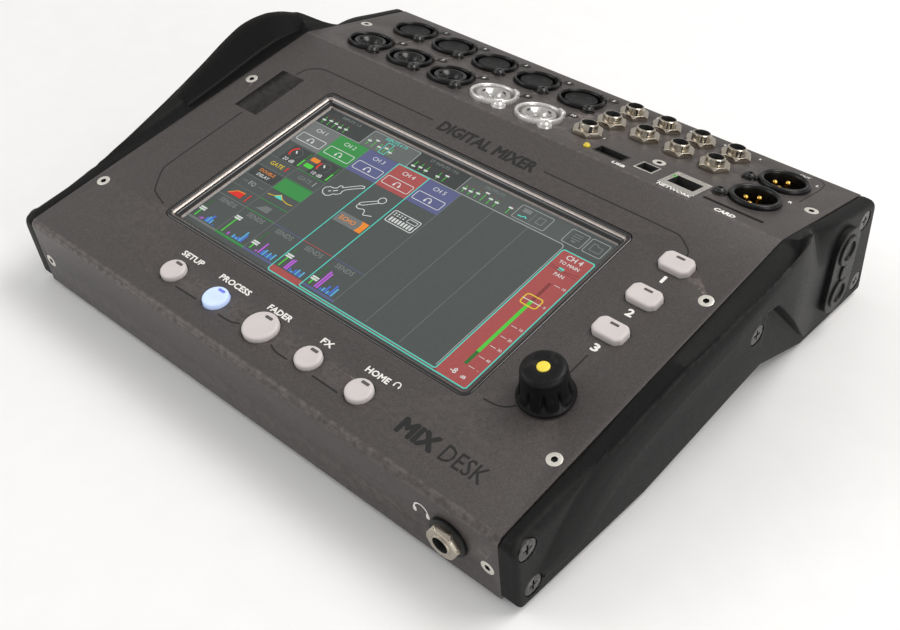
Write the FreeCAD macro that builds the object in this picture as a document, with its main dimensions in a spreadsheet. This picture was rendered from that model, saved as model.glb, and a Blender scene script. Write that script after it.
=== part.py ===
import FreeCAD, Part
import Sketcher
import math
import os

# Compact digital mixing desk with a touch screen, a sloped control panel and a connector deck.
# Frame: +Z up, +X to the operator's right, +Y to the rear, origin at the middle of the footprint
# on the surface that the feet stand on.  Millimetres and degrees.

V = FreeCAD.Vector
doc = FreeCAD.newDocument("mixing_desk")

# ---------------------------------------------------------------- driving dimensions
SIZES = [
    # folded metal enclosure
    ("body_width", 252.0), ("sheet", 1.5), ("front_height", 31.1), ("front_overhang", 3.1),
    ("panel_length", 158.4), ("panel_tilt", 10.0), ("deck_length", 67.1), ("deck_tilt", 10.4),
    ("base_depth", 225.6), ("setback", 110.17), ("foot_height", 3.0), ("bend_radius", 3.0),
    ("main_bend_radius", 6.0), ("tray_sheet", 1.2), ("tray_gap", 0.3),
    ("wall_gap", 0.9),
    # cheeks
    ("slab_thick", 7.0), ("slab_round", 1.8), ("slab_corner", 4.0), ("wing_reach", 16.0),
    ("notch_start", 68.0), ("notch_peak", 141.0), ("notch_end", 175.0), ("notch_rise", 11.0),
    ("relief_rise", 3.6), ("relief_width", 19.0), ("relief_length", 40.0),
    # screen
    ("screen_x", -0.4), ("screen_at", 83.5), ("screen_width", 164.0), ("screen_height", 95.1),
    ("screen_corner", 3.5), ("view_width", 154.4), ("view_height", 86.1), ("screen_recess", 4.2),
    ("glass_thick", 1.1), ("module_thick", 4.0), ("bezel_gap", 0.25), ("bezel_lip", 3.0),
    # buttons and keys
    ("button_row", 16.5), ("button_pitch", 25.4), ("button_x", -0.3), ("button_size", 10.4),
    ("fader_button_size", 14.0), ("button_rise", 2.0), ("travel", 1.0), ("key_x", 102.9),
    ("key_first", 87.4), ("key_pitch", 19.6), ("key_width", 13.0), ("key_depth", 8.8),
    ("key_rise", 2.4), ("key_chamfer", 2.2), ("key_gap", 0.35), ("guard_flange", 1.4),
    ("stem_size", 4.0), ("board_drop", 10.0), ("switch_high", 4.0), ("board_thick", 1.6), ("switch_gap", 0.4),
    # encoder
    ("knob_x", 102.7), ("knob_at", 52.6), ("knob_skirt", 20.6), ("knob_foot", 17.6),
    ("knob_top", 16.0), ("knob_height", 14.4), ("knob_lift", 0.6), ("shaft_size", 6.0),
    ("run_gap", 0.04), ("bush_size", 7.0), ("cap_size", 4.6), ("flutes", 10), ("flute_size", 2.8),
    # round sockets on the deck
    ("socket_x", -100.2), ("socket_pitch", 25.3), ("combo_row", 15.6), ("mic_row", 46.0),
    ("flange_size", 21.3), ("flange_rise", 2.0), ("socket_body", 19.2), ("socket_deep", 22.0),
    ("ring_bore", 18.2), ("insert_size", 15.2), ("ring_deep", 12.0), ("jack_bore", 6.5),
    ("pin_hole", 2.7), ("pin_circle", 4.2), ("output_x", 101.8), ("output_row", 23.4),
    ("output_pitch", 23.5), ("output_bore", 16.3), ("output_deep", 13.0), ("pin_size", 2.4),
    ("pin_tip", 3.2), ("screw_across", 8.9), ("screw_down", 7.3),
    # line jacks
    ("line_x", 24.8), ("line_row", 18.6), ("line_pitch", 17.0), ("bush_outer", 8.0),
    ("bush_rise", 4.7), ("nut_across", 12.2), ("nut_rise", 2.3), ("jack_deep", 22.0),
    ("jack_body", 13.6), ("phones_x", 105.1), ("phones_drop", 15.6), ("washer_size", 15.6),
    ("washer_rise", 1.8), ("phones_nut_rise", 2.4),
    # data ports
    ("usb_a_x", 43.2), ("usb_a_row", 9.9), ("usb_b_x", 60.0), ("usb_b_row", 11.2),
    ("net_x", 77.6), ("net_row", 11.4), ("card_x", 101.3), ("card_row", 7.4), ("lamp_x", 32.7),
    ("lamp_row", 7.3), ("usb_a_width", 14.4), ("usb_a_depth", 7.0), ("usb_b_width", 8.8),
    ("usb_b_depth", 7.8), ("net_width", 16.5), ("net_depth", 15.1), ("card_slot_width", 26.3),
    ("card_slot_depth", 1.9), ("lamp_size", 3.0), ("port_wall", 0.6),
    # small things
    ("window_x", -105.9), ("window_at", 115.8), ("window_width", 14.2), ("window_length", 29.4),
    ("screw_x", 120.9), ("screw_head", 5.6), ("front_screw_drop", 18.5), ("panel_screw_low", 34.0),
    ("panel_screw_high", 118.2), ("deck_screw_row", 33.5), ("cheek_screw_head", 8.2),
    ("foot_size", 14.0), ("foot_inset", 22.0), ("pan_head", 5.2),
    ("board_rise", 10.0), ("deck_board_drop", 24.0),
    ("inlet_x", 92.0), ("switch_x", 62.0), ("rear_item_drop", 24.0), ("switch_throw", 9.0),
    ("inlet_size", 11.0), ("switch_width", 19.2), ("switch_depth", 13.0), ("rocker_width", 16.2),
    ("rocker_depth", 10.2), ("rocker_gap", 0.8), ("pivot_size", 2.0), ("pivot_drop", 2.0),
]

sheet = doc.addObject("Spreadsheet::Sheet", "Sizes")
for row, (alias, value) in enumerate(SIZES, start=1):
    sheet.set("A%d" % row, alias)
    sheet.set("B%d" % row, str(value))
    sheet.setAlias("B%d" % row, alias)
doc.recompute()


def size(alias):
    """The number held by one named cell."""
    return float(sheet.get(alias))


def ex(text):
    """Turn @name into a reference to the sheet's cell of that name."""
    return text.replace("@", "Sizes.")


def bind(obj, **formulas):
    """Bind properties to formulas; a double underscore stands for a dot."""
    for name, formula in formulas.items():
        obj.setExpression(name.replace("__", "."), ex(str(formula)))
    return obj


# ---------------------------------------------------------------- reference frames
# Each frame is an origin and a turn about X; local Z is the outward normal of the face.
BEND_Y = "(0 - @setback - @front_overhang)"
BEND_Z = "(@foot_height + @front_height)"
RIDGE_Y = "(%s + @panel_length * cos(@panel_tilt))" % BEND_Y
RIDGE_Z = "(%s + @panel_length * sin(@panel_tilt))" % BEND_Z
REAR_Y = "(%s + @deck_length * cos(@deck_tilt))" % RIDGE_Y
REAR_Z = "(%s - @deck_length * sin(@deck_tilt))" % RIDGE_Z
TAIL_Y = "(@base_depth - @setback)"
FRAMES = {
    "world": ("0", "0", "0"),
    "panel": (BEND_Y, BEND_Z, "@panel_tilt"),
    "deck": (RIDGE_Y, RIDGE_Z, "(0 - @deck_tilt)"),
    "front": (BEND_Y, BEND_Z, "(90 deg + atan(@front_overhang / @front_height))"),
    "rear": (REAR_Y, REAR_Z,
             "(atan((%s - %s) / (%s - @foot_height)) - 90 deg)" % (TAIL_Y, REAR_Y, REAR_Z)),
}


def put(obj, frame, x, y, z):
    """Place an object at a point of a frame, turned with that frame."""
    origin_y, origin_z, turn = FRAMES[frame]
    obj.Placement = FreeCAD.Placement(V(0, 0, 0), FreeCAD.Rotation(V(1, 0, 0), 1.0))
    bind(obj, Placement__Base__x=x,
         Placement__Base__y="%s + (%s) * cos%s - (%s) * sin%s" % (
             origin_y, y, wrap(turn), z, wrap(turn)),
         Placement__Base__z="%s + (%s) * sin%s + (%s) * cos%s" % (
             origin_z, y, wrap(turn), z, wrap(turn)),
         Placement__Rotation__Angle=turn)
    return obj


def wrap(text):
    return text if text.startswith("(") else "(%s)" % text


def at(obj, x=0, y=0, z=0):
    """Place a primitive in its own local frame, with no turn."""
    return bind(obj, Placement__Base__x=x, Placement__Base__y=y, Placement__Base__z=z)


# ---------------------------------------------------------------- primitives and booleans
made = [0]


def fresh(kind, name):
    made[0] += 1
    return doc.addObject(kind, "%s_%d" % (name, made[0]))


def box(name, wide, deep, high, x=0, y=0, z=0):
    """A box centred on x and y whose bottom is at z."""
    obj = bind(fresh("Part::Box", name), Length=wide, Width=deep, Height=high)
    return at(obj, "(%s) - (%s) / 2" % (x, wide), "(%s) - (%s) / 2" % (y, deep), z)


def rod(name, across, high, x=0, y=0, z=0):
    """An upright cylinder of a given diameter whose bottom is at z."""
    obj = bind(fresh("Part::Cylinder", name), Radius="(%s) / 2" % across, Height=high)
    return at(obj, x, y, z)


def cone(name, low, top, high, x=0, y=0, z=0):
    obj = bind(fresh("Part::Cone", name), Radius1="(%s) / 2" % low, Radius2="(%s) / 2" % top,
               Height=high)
    return at(obj, x, y, z)


def hexagon(name, flats, high, x=0, y=0, z=0, low="0"):
    obj = fresh("Part::Prism", name)
    obj.Polygon = 6
    bind(obj, Circumradius="(%s) / 2 / cos(30)" % flats, Height=high)
    return at(obj, x, y, z)


def join(name, pieces):
    obj = fresh("Part::MultiFuse", name)
    obj.Shapes = pieces
    return obj


def cut(name, base, tools):
    obj = fresh("Part::Cut", name)
    obj.Base = base
    obj.Tool = tools[0] if len(tools) == 1 else join(name + "_tools", tools)
    return obj


def group(name, pieces):
    obj = fresh("Part::Compound", name)
    obj.Links = pieces
    return obj


nodes = []


def node(obj, name):
    """Make an object a sub-part under its own name."""
    obj.Label = name
    nodes.append(obj)
    return obj


# ---------------------------------------------------------------- sketch helpers
def new_body(name):
    return doc.addObject("PartDesign::Body", name)


def origin_plane(body, role):
    return [item for item in body.Origin.OriginFeatures if item.Role == role][0]


def new_sketch(body, name, role, lift=None):
    sk = body.newObject("Sketcher::SketchObject", name)
    sk.AttachmentSupport = (origin_plane(body, role), "")
    sk.MapMode = "FlatFace"
    if lift is not None:
        sk.setExpression("AttachmentOffset.Base.z", ex(lift))
    return sk


def fix_point(sk, geo, which, x, y):
    """Tie a sketch point to the origin by its two coordinates."""
    spot = sk.getPoint(geo, which)
    for kind, start, formula in (("DistanceX", spot.x, x), ("DistanceY", spot.y, y)):
        index = sk.addConstraint(Sketcher.Constraint(kind, -1, 1, geo, which, start))
        sk.setExpression("Constraints[%d]" % index, ex(formula))


def outline(sk, points):
    """A closed polygon whose corners are formulas; it starts as a regular one."""
    count = len(points)
    turn = [2 * math.pi * i / count for i in range(count)]
    spots = [V(30 * math.cos(angle), 30 * math.sin(angle), 0) for angle in turn]
    for i in range(count):
        sk.addGeometry(Part.LineSegment(spots[i], spots[(i + 1) % count]), False)
    for i in range(count):
        sk.addConstraint(Sketcher.Constraint("Coincident", i, 2, (i + 1) % count, 1))
    for i, (x, y) in enumerate(points):
        fix_point(sk, i, 1, x, y)
    return sk


def disc(sk, x, y, across):
    """A circle with its centre and diameter given by formulas."""
    geo = sk.addGeometry(Part.Circle(V(3, 2, 0), V(0, 0, 1), 5), False)
    fix_point(sk, geo, 3, x, y)
    index = sk.addConstraint(Sketcher.Constraint("Diameter", geo, 10.0))
    sk.setExpression("Constraints[%d]" % index, ex(across))
    return sk


def pad(body, sk, name, length, symmetric=False, reverse=False):
    feature = body.newObject("PartDesign::Pad", name)
    feature.Profile = sk
    feature.Reversed = reverse
    if symmetric:
        feature.SideType = "Symmetric"
    bind(feature, Length=length)
    return feature


def edges_where(feature, test):
    """Names of the edges whose two ends both pass a test."""
    found = []
    for i, edge in enumerate(feature.Shape.Edges, start=1):
        ends = [edge.valueAt(edge.FirstParameter), edge.valueAt(edge.LastParameter)]
        middle = edge.valueAt((edge.FirstParameter + edge.LastParameter) / 2)
        if test(ends[0], ends[1], middle):
            found.append("Edge%d" % i)
    return found


def dress(body, kind, name, base, edges, **formulas):
    feature = body.newObject("PartDesign::" + kind, name)
    feature.Base = (base, edges)
    bind(feature, **formulas)
    return feature


# ---------------------------------------------------------------- enclosure profile
# Directions of the four folded faces, walked from the front lip over the top to the tail.
LIP = "(90 deg + atan(@front_overhang / @front_height))"
PANEL = "(@panel_tilt * 1 deg)"
DECK = "(0 deg - @deck_tilt * 1 deg)"
TAIL = "(atan((%s - %s) / (%s - @foot_height)) - 90 deg)" % (TAIL_Y, REAR_Y, REAR_Z)
TOE_Y = "(0 - @setback)"


def inner_corner(y, z, before, after, depth):
    """The mitred corner of a profile moved inwards by a depth."""
    half = "((%s - %s) / 2)" % (before, after)
    mean = "((%s + %s) / 2)" % (before, after)
    return ("%s + %s / cos%s * sin%s" % (y, depth, half, mean),
            "%s - %s / cos%s * cos%s" % (z, depth, half, mean))


def profile(depth, floor="@foot_height"):
    """Corners of the enclosure's side profile, moved inwards by a depth."""
    corners = [("%s + (%s) / sin%s" % (TOE_Y, depth, LIP), floor)]
    corners.append(inner_corner(BEND_Y, BEND_Z, LIP, PANEL, depth))
    corners.append(inner_corner(RIDGE_Y, RIDGE_Z, PANEL, DECK, depth))
    corners.append(inner_corner(REAR_Y, REAR_Z, DECK, TAIL, depth))
    corners.append(("%s + (%s) / sin%s" % (TAIL_Y, depth, TAIL), floor))
    return corners


# ---------------------------------------------------------------- folded top
def bent_prism(name, depth, width, lip_radius, ridge_radius):
    """A solid with the enclosure's profile and rounded folds."""
    body = new_body(name)
    sk = outline(new_sketch(body, name + "Profile", "YZ_Plane"), profile(depth))
    prism = pad(body, sk, name + "Pad", width, symmetric=True)
    doc.recompute()
    corners = [sk.getPoint(i, 1) for i in range(5)]
    for label, picks, radius in (("Ends", (1, 3), lip_radius), ("Ridge", (2,), ridge_radius)):
        spots = [corners[i] for i in picks]
        base = body.Tip
        edges = edges_where(base, lambda first, last, middle: abs(first.x - last.x) > 10 and any(
            math.hypot(middle.y - spot.x, middle.z - spot.y) < 0.01 for spot in spots))
        dress(body, "Fillet", name + label, base, edges, Radius=radius)
        doc.recompute()
    return body


outer_skin = bent_prism("OuterSkin", "0 * @sheet", "@body_width", "@bend_radius",
                        "@main_bend_radius")
inner_space = bent_prism("InnerSpace", "@sheet", "@body_width + 4", "@bend_radius - @sheet",
                         "@main_bend_radius - @sheet")

# ---------------------------------------------------------------- positions on the faces
BUTTONS = [("@button_x + (%d) * @button_pitch" % (i - 2), "@button_row") for i in range(5)]
BUTTON_SIZES = ["@fader_button_size" if i == 2 else "@button_size" for i in range(5)]
KEYS = [("@key_x", "@key_first + %d * @key_pitch" % (2 - i)) for i in range(3)]
COMBOS = [("@socket_x + %d * @socket_pitch" % i, "@combo_row") for i in range(5)]
MICS = [("@socket_x + %d * @socket_pitch" % i, "@mic_row") for i in range(5)]
OUTPUTS = [("@output_x", "@output_row + %d * @output_pitch" % i) for i in range(2)]
LINES = [("@line_x + %d * @line_pitch" % i, "@line_row + %d * @line_pitch" % j)
         for i, j in ((0, 0), (0, 1), (0, 2), (1, 1), (1, 2), (2, 1), (2, 2), (3, 1), (3, 2))]
FACE_SCREWS = ([("front", side + "@screw_x", "0 - @front_screw_drop") for side in ("0 - ", "0 + ")]
               + [("panel", side + "@screw_x", row) for side in ("0 - ", "0 + ")
                  for row in ("@panel_screw_low", "@panel_screw_high")]
               + [("deck", side + "@screw_x", "@deck_screw_row") for side in ("0 - ", "0 + ")]
               + [("deck", "@usb_b_x", "@usb_b_row + @usb_b_depth / 2 + @screw_head / 2 + 1.7")])

NEAR_SIDE = ("@screw_across", "0 - @screw_down")
OUTPUT_SIDE = ("0 - @screw_across - 2.8", "0 - @screw_down")
SOCKET_SCREWS = [("%s + %s" % (x, dx), "%s + %s" % (y, dy))
                 for places, (dx, dy) in ((COMBOS + MICS, NEAR_SIDE), (OUTPUTS, OUTPUT_SIDE))
                 for x, y in places]

# ---------------------------------------------------------------- holes in the folded top
holes = []


def hole(piece, frame, x, y, z="-4"):
    holes.append(put(piece, frame, x, y, z))


def slot(name, wide, deep, frame, x, y):
    """A rectangular hole through one face."""
    hole(group(name, [box(name + "Block", wide, deep, "8")]), frame, x, y)


def rounded_block(name, wide, deep, high, corner):
    """A block with rounded upright edges, centred on its own frame."""
    body = new_body(name)
    sk = new_sketch(body, name + "Outline", "XY_Plane")
    outline(sk, [("0 - (%s) / 2" % wide, "0 - (%s) / 2" % deep),
                 ("(%s) / 2" % wide, "0 - (%s) / 2" % deep),
                 ("(%s) / 2" % wide, "(%s) / 2" % deep),
                 ("0 - (%s) / 2" % wide, "(%s) / 2" % deep)])
    block = pad(body, sk, name + "Pad", high)
    doc.recompute()
    uprights = edges_where(block, lambda first, last, middle: abs(first.z - last.z) > 0.1
                           and math.hypot(first.x - last.x, first.y - last.y) < 0.01)
    dress(body, "Fillet", name + "Corners", block, uprights, Radius=corner)
    doc.recompute()
    return body


def chamfered_outline(sk, wide, deep, corner):
    """A rectangle with its four corners cut off, centred on the sketch's origin."""
    half_w = "(%s) / 2" % wide
    half_d = "(%s) / 2" % deep
    points = []
    for sx, sy in ((-1, -1), (1, -1), (1, 1), (-1, 1)):
        near_side = ("%d * (%s - %s)" % (sx, half_w, corner), "%d * (%s)" % (sy, half_d))
        near_end = ("%d * (%s)" % (sx, half_w), "%d * (%s - %s)" % (sy, half_d, corner))
        points += [near_end, near_side] if sx * sy > 0 else [near_side, near_end]
    return outline(sk, points)


hole(rounded_block("ScreenHole", "@screen_width + 2 * @bezel_gap",
                   "@screen_height + 2 * @bezel_gap", "8", "@screen_corner"),
     "panel", "@screen_x", "@screen_at")
for (x, y), across in zip(BUTTONS, BUTTON_SIZES):
    hole(rod("ButtonHole", "%s + 2 * @key_gap" % across, "8"), "panel", x, y)
for x, y in KEYS:
    key_hole = new_body("KeyHole")
    pad(key_hole, chamfered_outline(new_sketch(key_hole, "KeyHoleOutline", "XY_Plane"),
                                    "@key_width + 2 * @key_gap", "@key_depth + 2 * @key_gap",
                                    "@key_chamfer"), "KeyHolePad", "8")
    hole(key_hole, "panel", x, y)
hole(rod("EncoderHole", "@bush_size + 0.3", "8"), "panel", "@knob_x", "@knob_at")
slot("WindowHole", "@window_width + 0.2", "@window_length + 0.2", "panel",
     "@window_x", "@window_at")
for x, y in COMBOS + MICS + OUTPUTS:
    hole(rod("SocketHole", "@socket_body + 0.4", "8"), "deck", x, y)
for x, y in SOCKET_SCREWS:
    hole(rod("SocketScrewHole", "2.8", "8"), "deck", x, y)
for x, y in LINES:
    hole(rod("LineHole", "@bush_outer + 0.3", "8"), "deck", x, y)
hole(rod("PhonesHole", "@bush_outer + 0.3", "8"), "front", "@phones_x", "0 - @phones_drop")
slot("UsbHole", "@usb_a_width + 0.3", "@usb_a_depth + 0.3", "deck", "@usb_a_x", "@usb_a_row")
slot("DataHole", "@usb_b_width + 0.3", "@usb_b_depth + 0.3", "deck", "@usb_b_x", "@usb_b_row")
slot("NetHole", "@net_width + 0.3", "@net_depth + 0.3", "deck", "@net_x", "@net_row")
slot("CardHole", "@card_slot_width", "@card_slot_depth", "deck", "@card_x", "@card_row")
hole(rod("LampHole", "3.2", "8"), "deck", "@lamp_x", "@lamp_row")
hole(rod("InletHole", "@inlet_size + 0.3", "8"), "rear", "@inlet_x", "@rear_item_drop")
slot("SwitchHole", "@switch_width + 0.3", "@switch_depth + 0.3", "rear", "@switch_x",
     "@rear_item_drop")


def sunk_screw(name, grow):
    """A countersunk screw, or with some growth the hole that takes it."""
    head = cone(name + "Head", "@screw_head / 2 + %s" % grow, "@screw_head + %s" % grow, "1.6",
                z="-1.6")
    return join(name, [head, rod(name + "Shank", "3 + %s" % grow, "7", z="-7")])


for frame, x, y in FACE_SCREWS:
    hole(sunk_screw("ScrewHole", "0.1"), frame, x, y, "0.02")

top = node(cut("TopChassis", outer_skin, [inner_space] + holes), "top_chassis")
doc.recompute()

# ---------------------------------------------------------------- base tray
INNER = "(@body_width / 2 - @tray_gap)"
tray = new_body("Tray")
floor_sketch = new_sketch(tray, "TrayFloor", "XY_Plane", "@foot_height")
FRONT_IN = "(%s + (@sheet + @tray_gap) / sin%s)" % (TOE_Y, LIP)
REAR_IN = "(%s + (@sheet + @tray_gap) / sin%s)" % (TAIL_Y, TAIL)
outline(floor_sketch, [("0 - " + INNER, FRONT_IN), (INNER, FRONT_IN), (INNER, REAR_IN),
                       ("0 - " + INNER, REAR_IN)])
pad(tray, floor_sketch, "TrayFloorPad", "@tray_sheet")
wall_sketch = new_sketch(tray, "TrayWall", "YZ_Plane", INNER)
outline(wall_sketch, profile("(@sheet + @wall_gap)"))
wall = pad(tray, wall_sketch, "TrayWallPad", "@tray_sheet", reverse=True)
mirror = tray.newObject("PartDesign::Mirrored", "TrayMirror")
mirror.Originals = [wall]
mirror.MirrorPlane = (origin_plane(tray, "YZ_Plane"), [""])
tray.Tip = mirror
doc.recompute()

# ---------------------------------------------------------------- cheeks
EDGE = "(@body_width / 2)"
NOTCH_Z = "(@foot_height + @notch_rise)"


def toe(y):
    """A distance back from the lower front edge, as a place along Y."""
    return "(%s + %s)" % (TOE_Y, y)


def wing_section(body, index, station):
    """One closed section of the wing: inner top, hollow, ridge, lower edge, inner foot."""
    distance, points = station
    sk = new_sketch(body, "WingSection%d" % index, "XZ_Plane", "0 - %s" % toe(distance))
    return outline(sk, points)


def panel_z(y):
    return "(%s + (%s + @front_overhang) * tan(@panel_tilt))" % (BEND_Z, y)


def out(share, extra="0"):
    """A reach outwards from the metal edge: a share of the wing's reach beyond the slab."""
    return "(%s + @slab_thick + %s * (@wing_reach - @slab_thick) + %s)" % (EDGE, share, extra)


def up(z):
    return "(@foot_height + %s)" % z


INSIDE = "(%s + 0.6 * @slab_thick)" % EDGE
RIM = "(%s + 0.02)" % EDGE
WING = [
    ("12", [(INSIDE, up("12.5")), (out("-0.02"), up("12.2")), (out("0.04"), up("11.0")),
            (out("0.04"), up("6.2")), (INSIDE, up("5.0"))]),
    ("30", [(INSIDE, up("33.4")), (out("-0.01"), up("33.0")), (out("0.13"), up("30.2")),
            (out("0.33"), up("11.0")), (INSIDE, up("8.0"))]),
    ("52", [(RIM, panel_z("52")), (out("-0.03"), panel_z("52")), (out("0.19"), up("42.6")),
            (out("0.36"), up("28.6")), (INSIDE, up("24.0"))]),
    ("75", [(RIM, panel_z("75")), (out("0.0"), "%s + 1.2" % panel_z("75")),
            (out("0.31"), up("50.6")), (out("0.52"), up("38.2")), (INSIDE, up("33.0"))]),
    ("100", [(RIM, panel_z("100")), (out("0.18"), "%s + 3.4" % panel_z("100")),
             (out("0.62"), up("59.8")), (out("0.74"), up("47.0")), (INSIDE, up("41.0"))]),
    ("125", [(RIM, panel_z("125")), (out("0.40"), "%s + 5.6" % panel_z("125")),
             (out("0.96"), up("68.0")), (out("1.0"), up("54.0")), (INSIDE, up("47.0"))]),
    ("139", [(RIM, panel_z("139")), (out("0.42"), "%s + 6.4" % panel_z("139")),
             (out("0.98"), up("70.6")), (out("1.0"), up("40.3")), (INSIDE, up("40.3"))]),
    ("150", [(RIM, panel_z("150")), (out("0.30"), "%s + 5.0" % panel_z("150")),
             (out("0.80"), up("69.2")), (out("0.78"), up("28.8")), (INSIDE, up("28.8"))]),
    ("162", [(RIM, "%s - 1.7" % RIDGE_Z), (out("0.02"), "%s + 1.6" % RIDGE_Z),
             (out("0.42"), up("63.4")), (out("0.46"), up("17.0")), (INSIDE, up("17.0"))]),
    ("172", [(RIM, "%s - 4.0" % RIDGE_Z), (out("-0.16"), "%s - 3.2" % RIDGE_Z),
             (out("0.20"), up("55.6")), (out("0.20"), up("6.6")), (INSIDE, up("6.6"))]),
]


def cheek(name):
    """The right-hand cheek: a slab with a wing that rises towards the rear."""
    body = new_body(name)
    corners = profile("0 * @sheet")
    slab_points = corners + [(toe("@notch_end"), "@foot_height"), (toe("@notch_peak"), NOTCH_Z),
                             (toe("@notch_start"), "@foot_height")]
    sk = outline(new_sketch(body, name + "SlabOutline", "YZ_Plane", EDGE), slab_points)
    slab = pad(body, sk, name + "Slab", "@slab_thick")
    doc.recompute()
    spots = [sk.getPoint(i, 1) for i in (0, 1, 3, 4)]
    edges = edges_where(slab, lambda first, last, middle: abs(first.x - last.x) > 1 and any(
        math.hypot(middle.y - spot.x, middle.z - spot.y) < 0.01 for spot in spots))
    dress(body, "Fillet", name + "Corners", slab, edges, Radius="@slab_corner")
    doc.recompute()
    outside = size("body_width") / 2 + size("slab_thick")
    edges = edges_where(body.Tip, lambda first, last, middle: min(
        first.x, last.x, middle.x) > outside - 0.01)
    dress(body, "Fillet", name + "Rounds", body.Tip, edges, Radius="@slab_round")
    doc.recompute()
    loft = body.newObject("PartDesign::AdditiveLoft", name + "Wing")
    sections = [wing_section(body, i, station) for i, station in enumerate(WING)]
    loft.Profile = sections[0]
    loft.Sections = sections[1:]
    loft.Ruled = True
    doc.recompute()
    return body


CHEEK_SCREWS = [("3.2", "27.0"), ("7.2", "6.4"), ("210.9", "40.6"), ("217.6", "7.0"),
                ("133.6", "30.0")]


def facing_out(obj, x, y, z):
    """Turn a piece so that its local Z points to +X, at a place on the right-hand side."""
    obj.Placement = FreeCAD.Placement(V(0, 0, 0), FreeCAD.Rotation(V(0, 1, 0), 90))
    return at(obj, x, y, z)


def mirrored(name, source):
    obj = fresh("Part::Mirroring", name)
    obj.Source = source
    obj.Normal = V(1, 0, 0)
    return obj


SLAB_FACE = "(%s + @slab_thick)" % EDGE
relief = group("Relief", [
    box("ReliefBar", "@relief_length - @relief_width", "@relief_width", "@relief_rise + 1"),
    rod("ReliefTop", "@relief_width", "@relief_rise + 1",
        x="0 - (@relief_length - @relief_width) / 2"),
    rod("ReliefFoot", "@relief_width", "@relief_rise + 1",
        x="(@relief_length - @relief_width) / 2")])
relief = facing_out(join("ReliefPlate", [relief]), SLAB_FACE + " - 1", toe("194"), up("26.5"))
cheek_holes = []
for y, z in CHEEK_SCREWS:
    well = join("CheekWell", [rod("CheekWellHead", "@cheek_screw_head + 0.6", "30", z="-2.2"),
                              rod("CheekWellShank", "3.4", "12", z="-12")])
    cheek_holes.append(facing_out(well, SLAB_FACE, toe(y), up(z)))
right_cheek = cut("RightCheek", join("CheekWithRelief", [cheek("CheekBody"), relief]), cheek_holes)
tray_holes = group("TrayHoles", [
    facing_out(group("TrayHole", [rod("TrayDrill", "3.4", "14", z="-14")]), SLAB_FACE, toe(y), up(z))
    for y, z in CHEEK_SCREWS])
node(cut("DrilledTray", tray, [tray_holes, mirrored("OtherTrayHoles", tray_holes)]), "base_tray")
node(right_cheek, "right_cheek")
node(mirrored("LeftCheek", right_cheek), "left_cheek")


def cross_screw(name):
    """A cheek screw: flat head with a cross recess, and its shank."""
    body = join(name, [rod(name + "Head", "@cheek_screw_head", "1.9", z="-2.1"),
                       rod(name + "Shank", "3", "10", z="-11")])
    cross = [box(name + "Slot", "4.4", "0.9", "2", z="-1.1"),
             box(name + "Slot", "0.9", "4.4", "2", z="-1.1")]
    return cut(name + "Driven", body, cross)


side_screws = [facing_out(cross_screw("CheekScrew"), SLAB_FACE, toe(y), up(z))
               for y, z in CHEEK_SCREWS]
side_group = group("SideScrews", side_screws)
node(group("CheekScrews", [side_group, mirrored("OtherSideScrews", side_group)]), "cheek_screws")


def star_screw(name):
    """A countersunk enclosure screw with a six-lobed recess."""
    lobes = [hexagon(name + "Lobe", "2.2", "2", z="-1.0")]
    return cut(name + "Driven", sunk_screw(name, "0"), lobes)


node(group("FaceScrews", [put(star_screw("FaceScrew"), frame, x, y, "0")
                          for frame, x, y in FACE_SCREWS]), "face_screws")

# ---------------------------------------------------------------- screen
bezel = new_body("Bezel")


def rectangle(sk, wide, deep, x="0", y="0"):
    return outline(sk, [("%s - (%s) / 2" % (x, wide), "%s - (%s) / 2" % (y, deep)),
                        ("%s + (%s) / 2" % (x, wide), "%s - (%s) / 2" % (y, deep)),
                        ("%s + (%s) / 2" % (x, wide), "%s + (%s) / 2" % (y, deep)),
                        ("%s - (%s) / 2" % (x, wide), "%s + (%s) / 2" % (y, deep))])


block = pad(bezel, rectangle(new_sketch(bezel, "BezelOutline", "XY_Plane", "0 - @screen_recess"),
                             "@screen_width", "@screen_height"), "BezelBlock", "@screen_recess")
doc.recompute()
uprights = edges_where(block, lambda first, last, middle: abs(first.z - last.z) > 0.1)
dress(bezel, "Fillet", "BezelCorners", block, uprights, Radius="@screen_corner - @bezel_gap")
doc.recompute()
pad(bezel, rectangle(new_sketch(bezel, "BezelLip", "XY_Plane", "0 - @screen_recess"),
                     "@screen_width + 2 * @bezel_lip", "@screen_height + 2 * @bezel_lip"),
    "BezelLipPad", "@screen_recess - @sheet")
opening = bezel.newObject("PartDesign::SubtractiveLoft", "BezelOpening")
opening.Profile = rectangle(new_sketch(bezel, "ViewLow", "XY_Plane", "0 - @screen_recess - 0.1"),
                            "@view_width", "@view_height")
opening.Sections = [rectangle(new_sketch(bezel, "ViewHigh", "XY_Plane", "0.1"),
                              "@screen_width - 3.2", "@screen_height - 3.2")]
opening.Ruled = True
node(put(bezel, "panel", "@screen_x", "@screen_at", "0"), "screen_bezel")


def plate(name, wide, deep, high, frame, x, y, z, label):
    return node(put(group(name, [box(name + "Block", wide, deep, high)]), frame, x, y, z), label)


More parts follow.
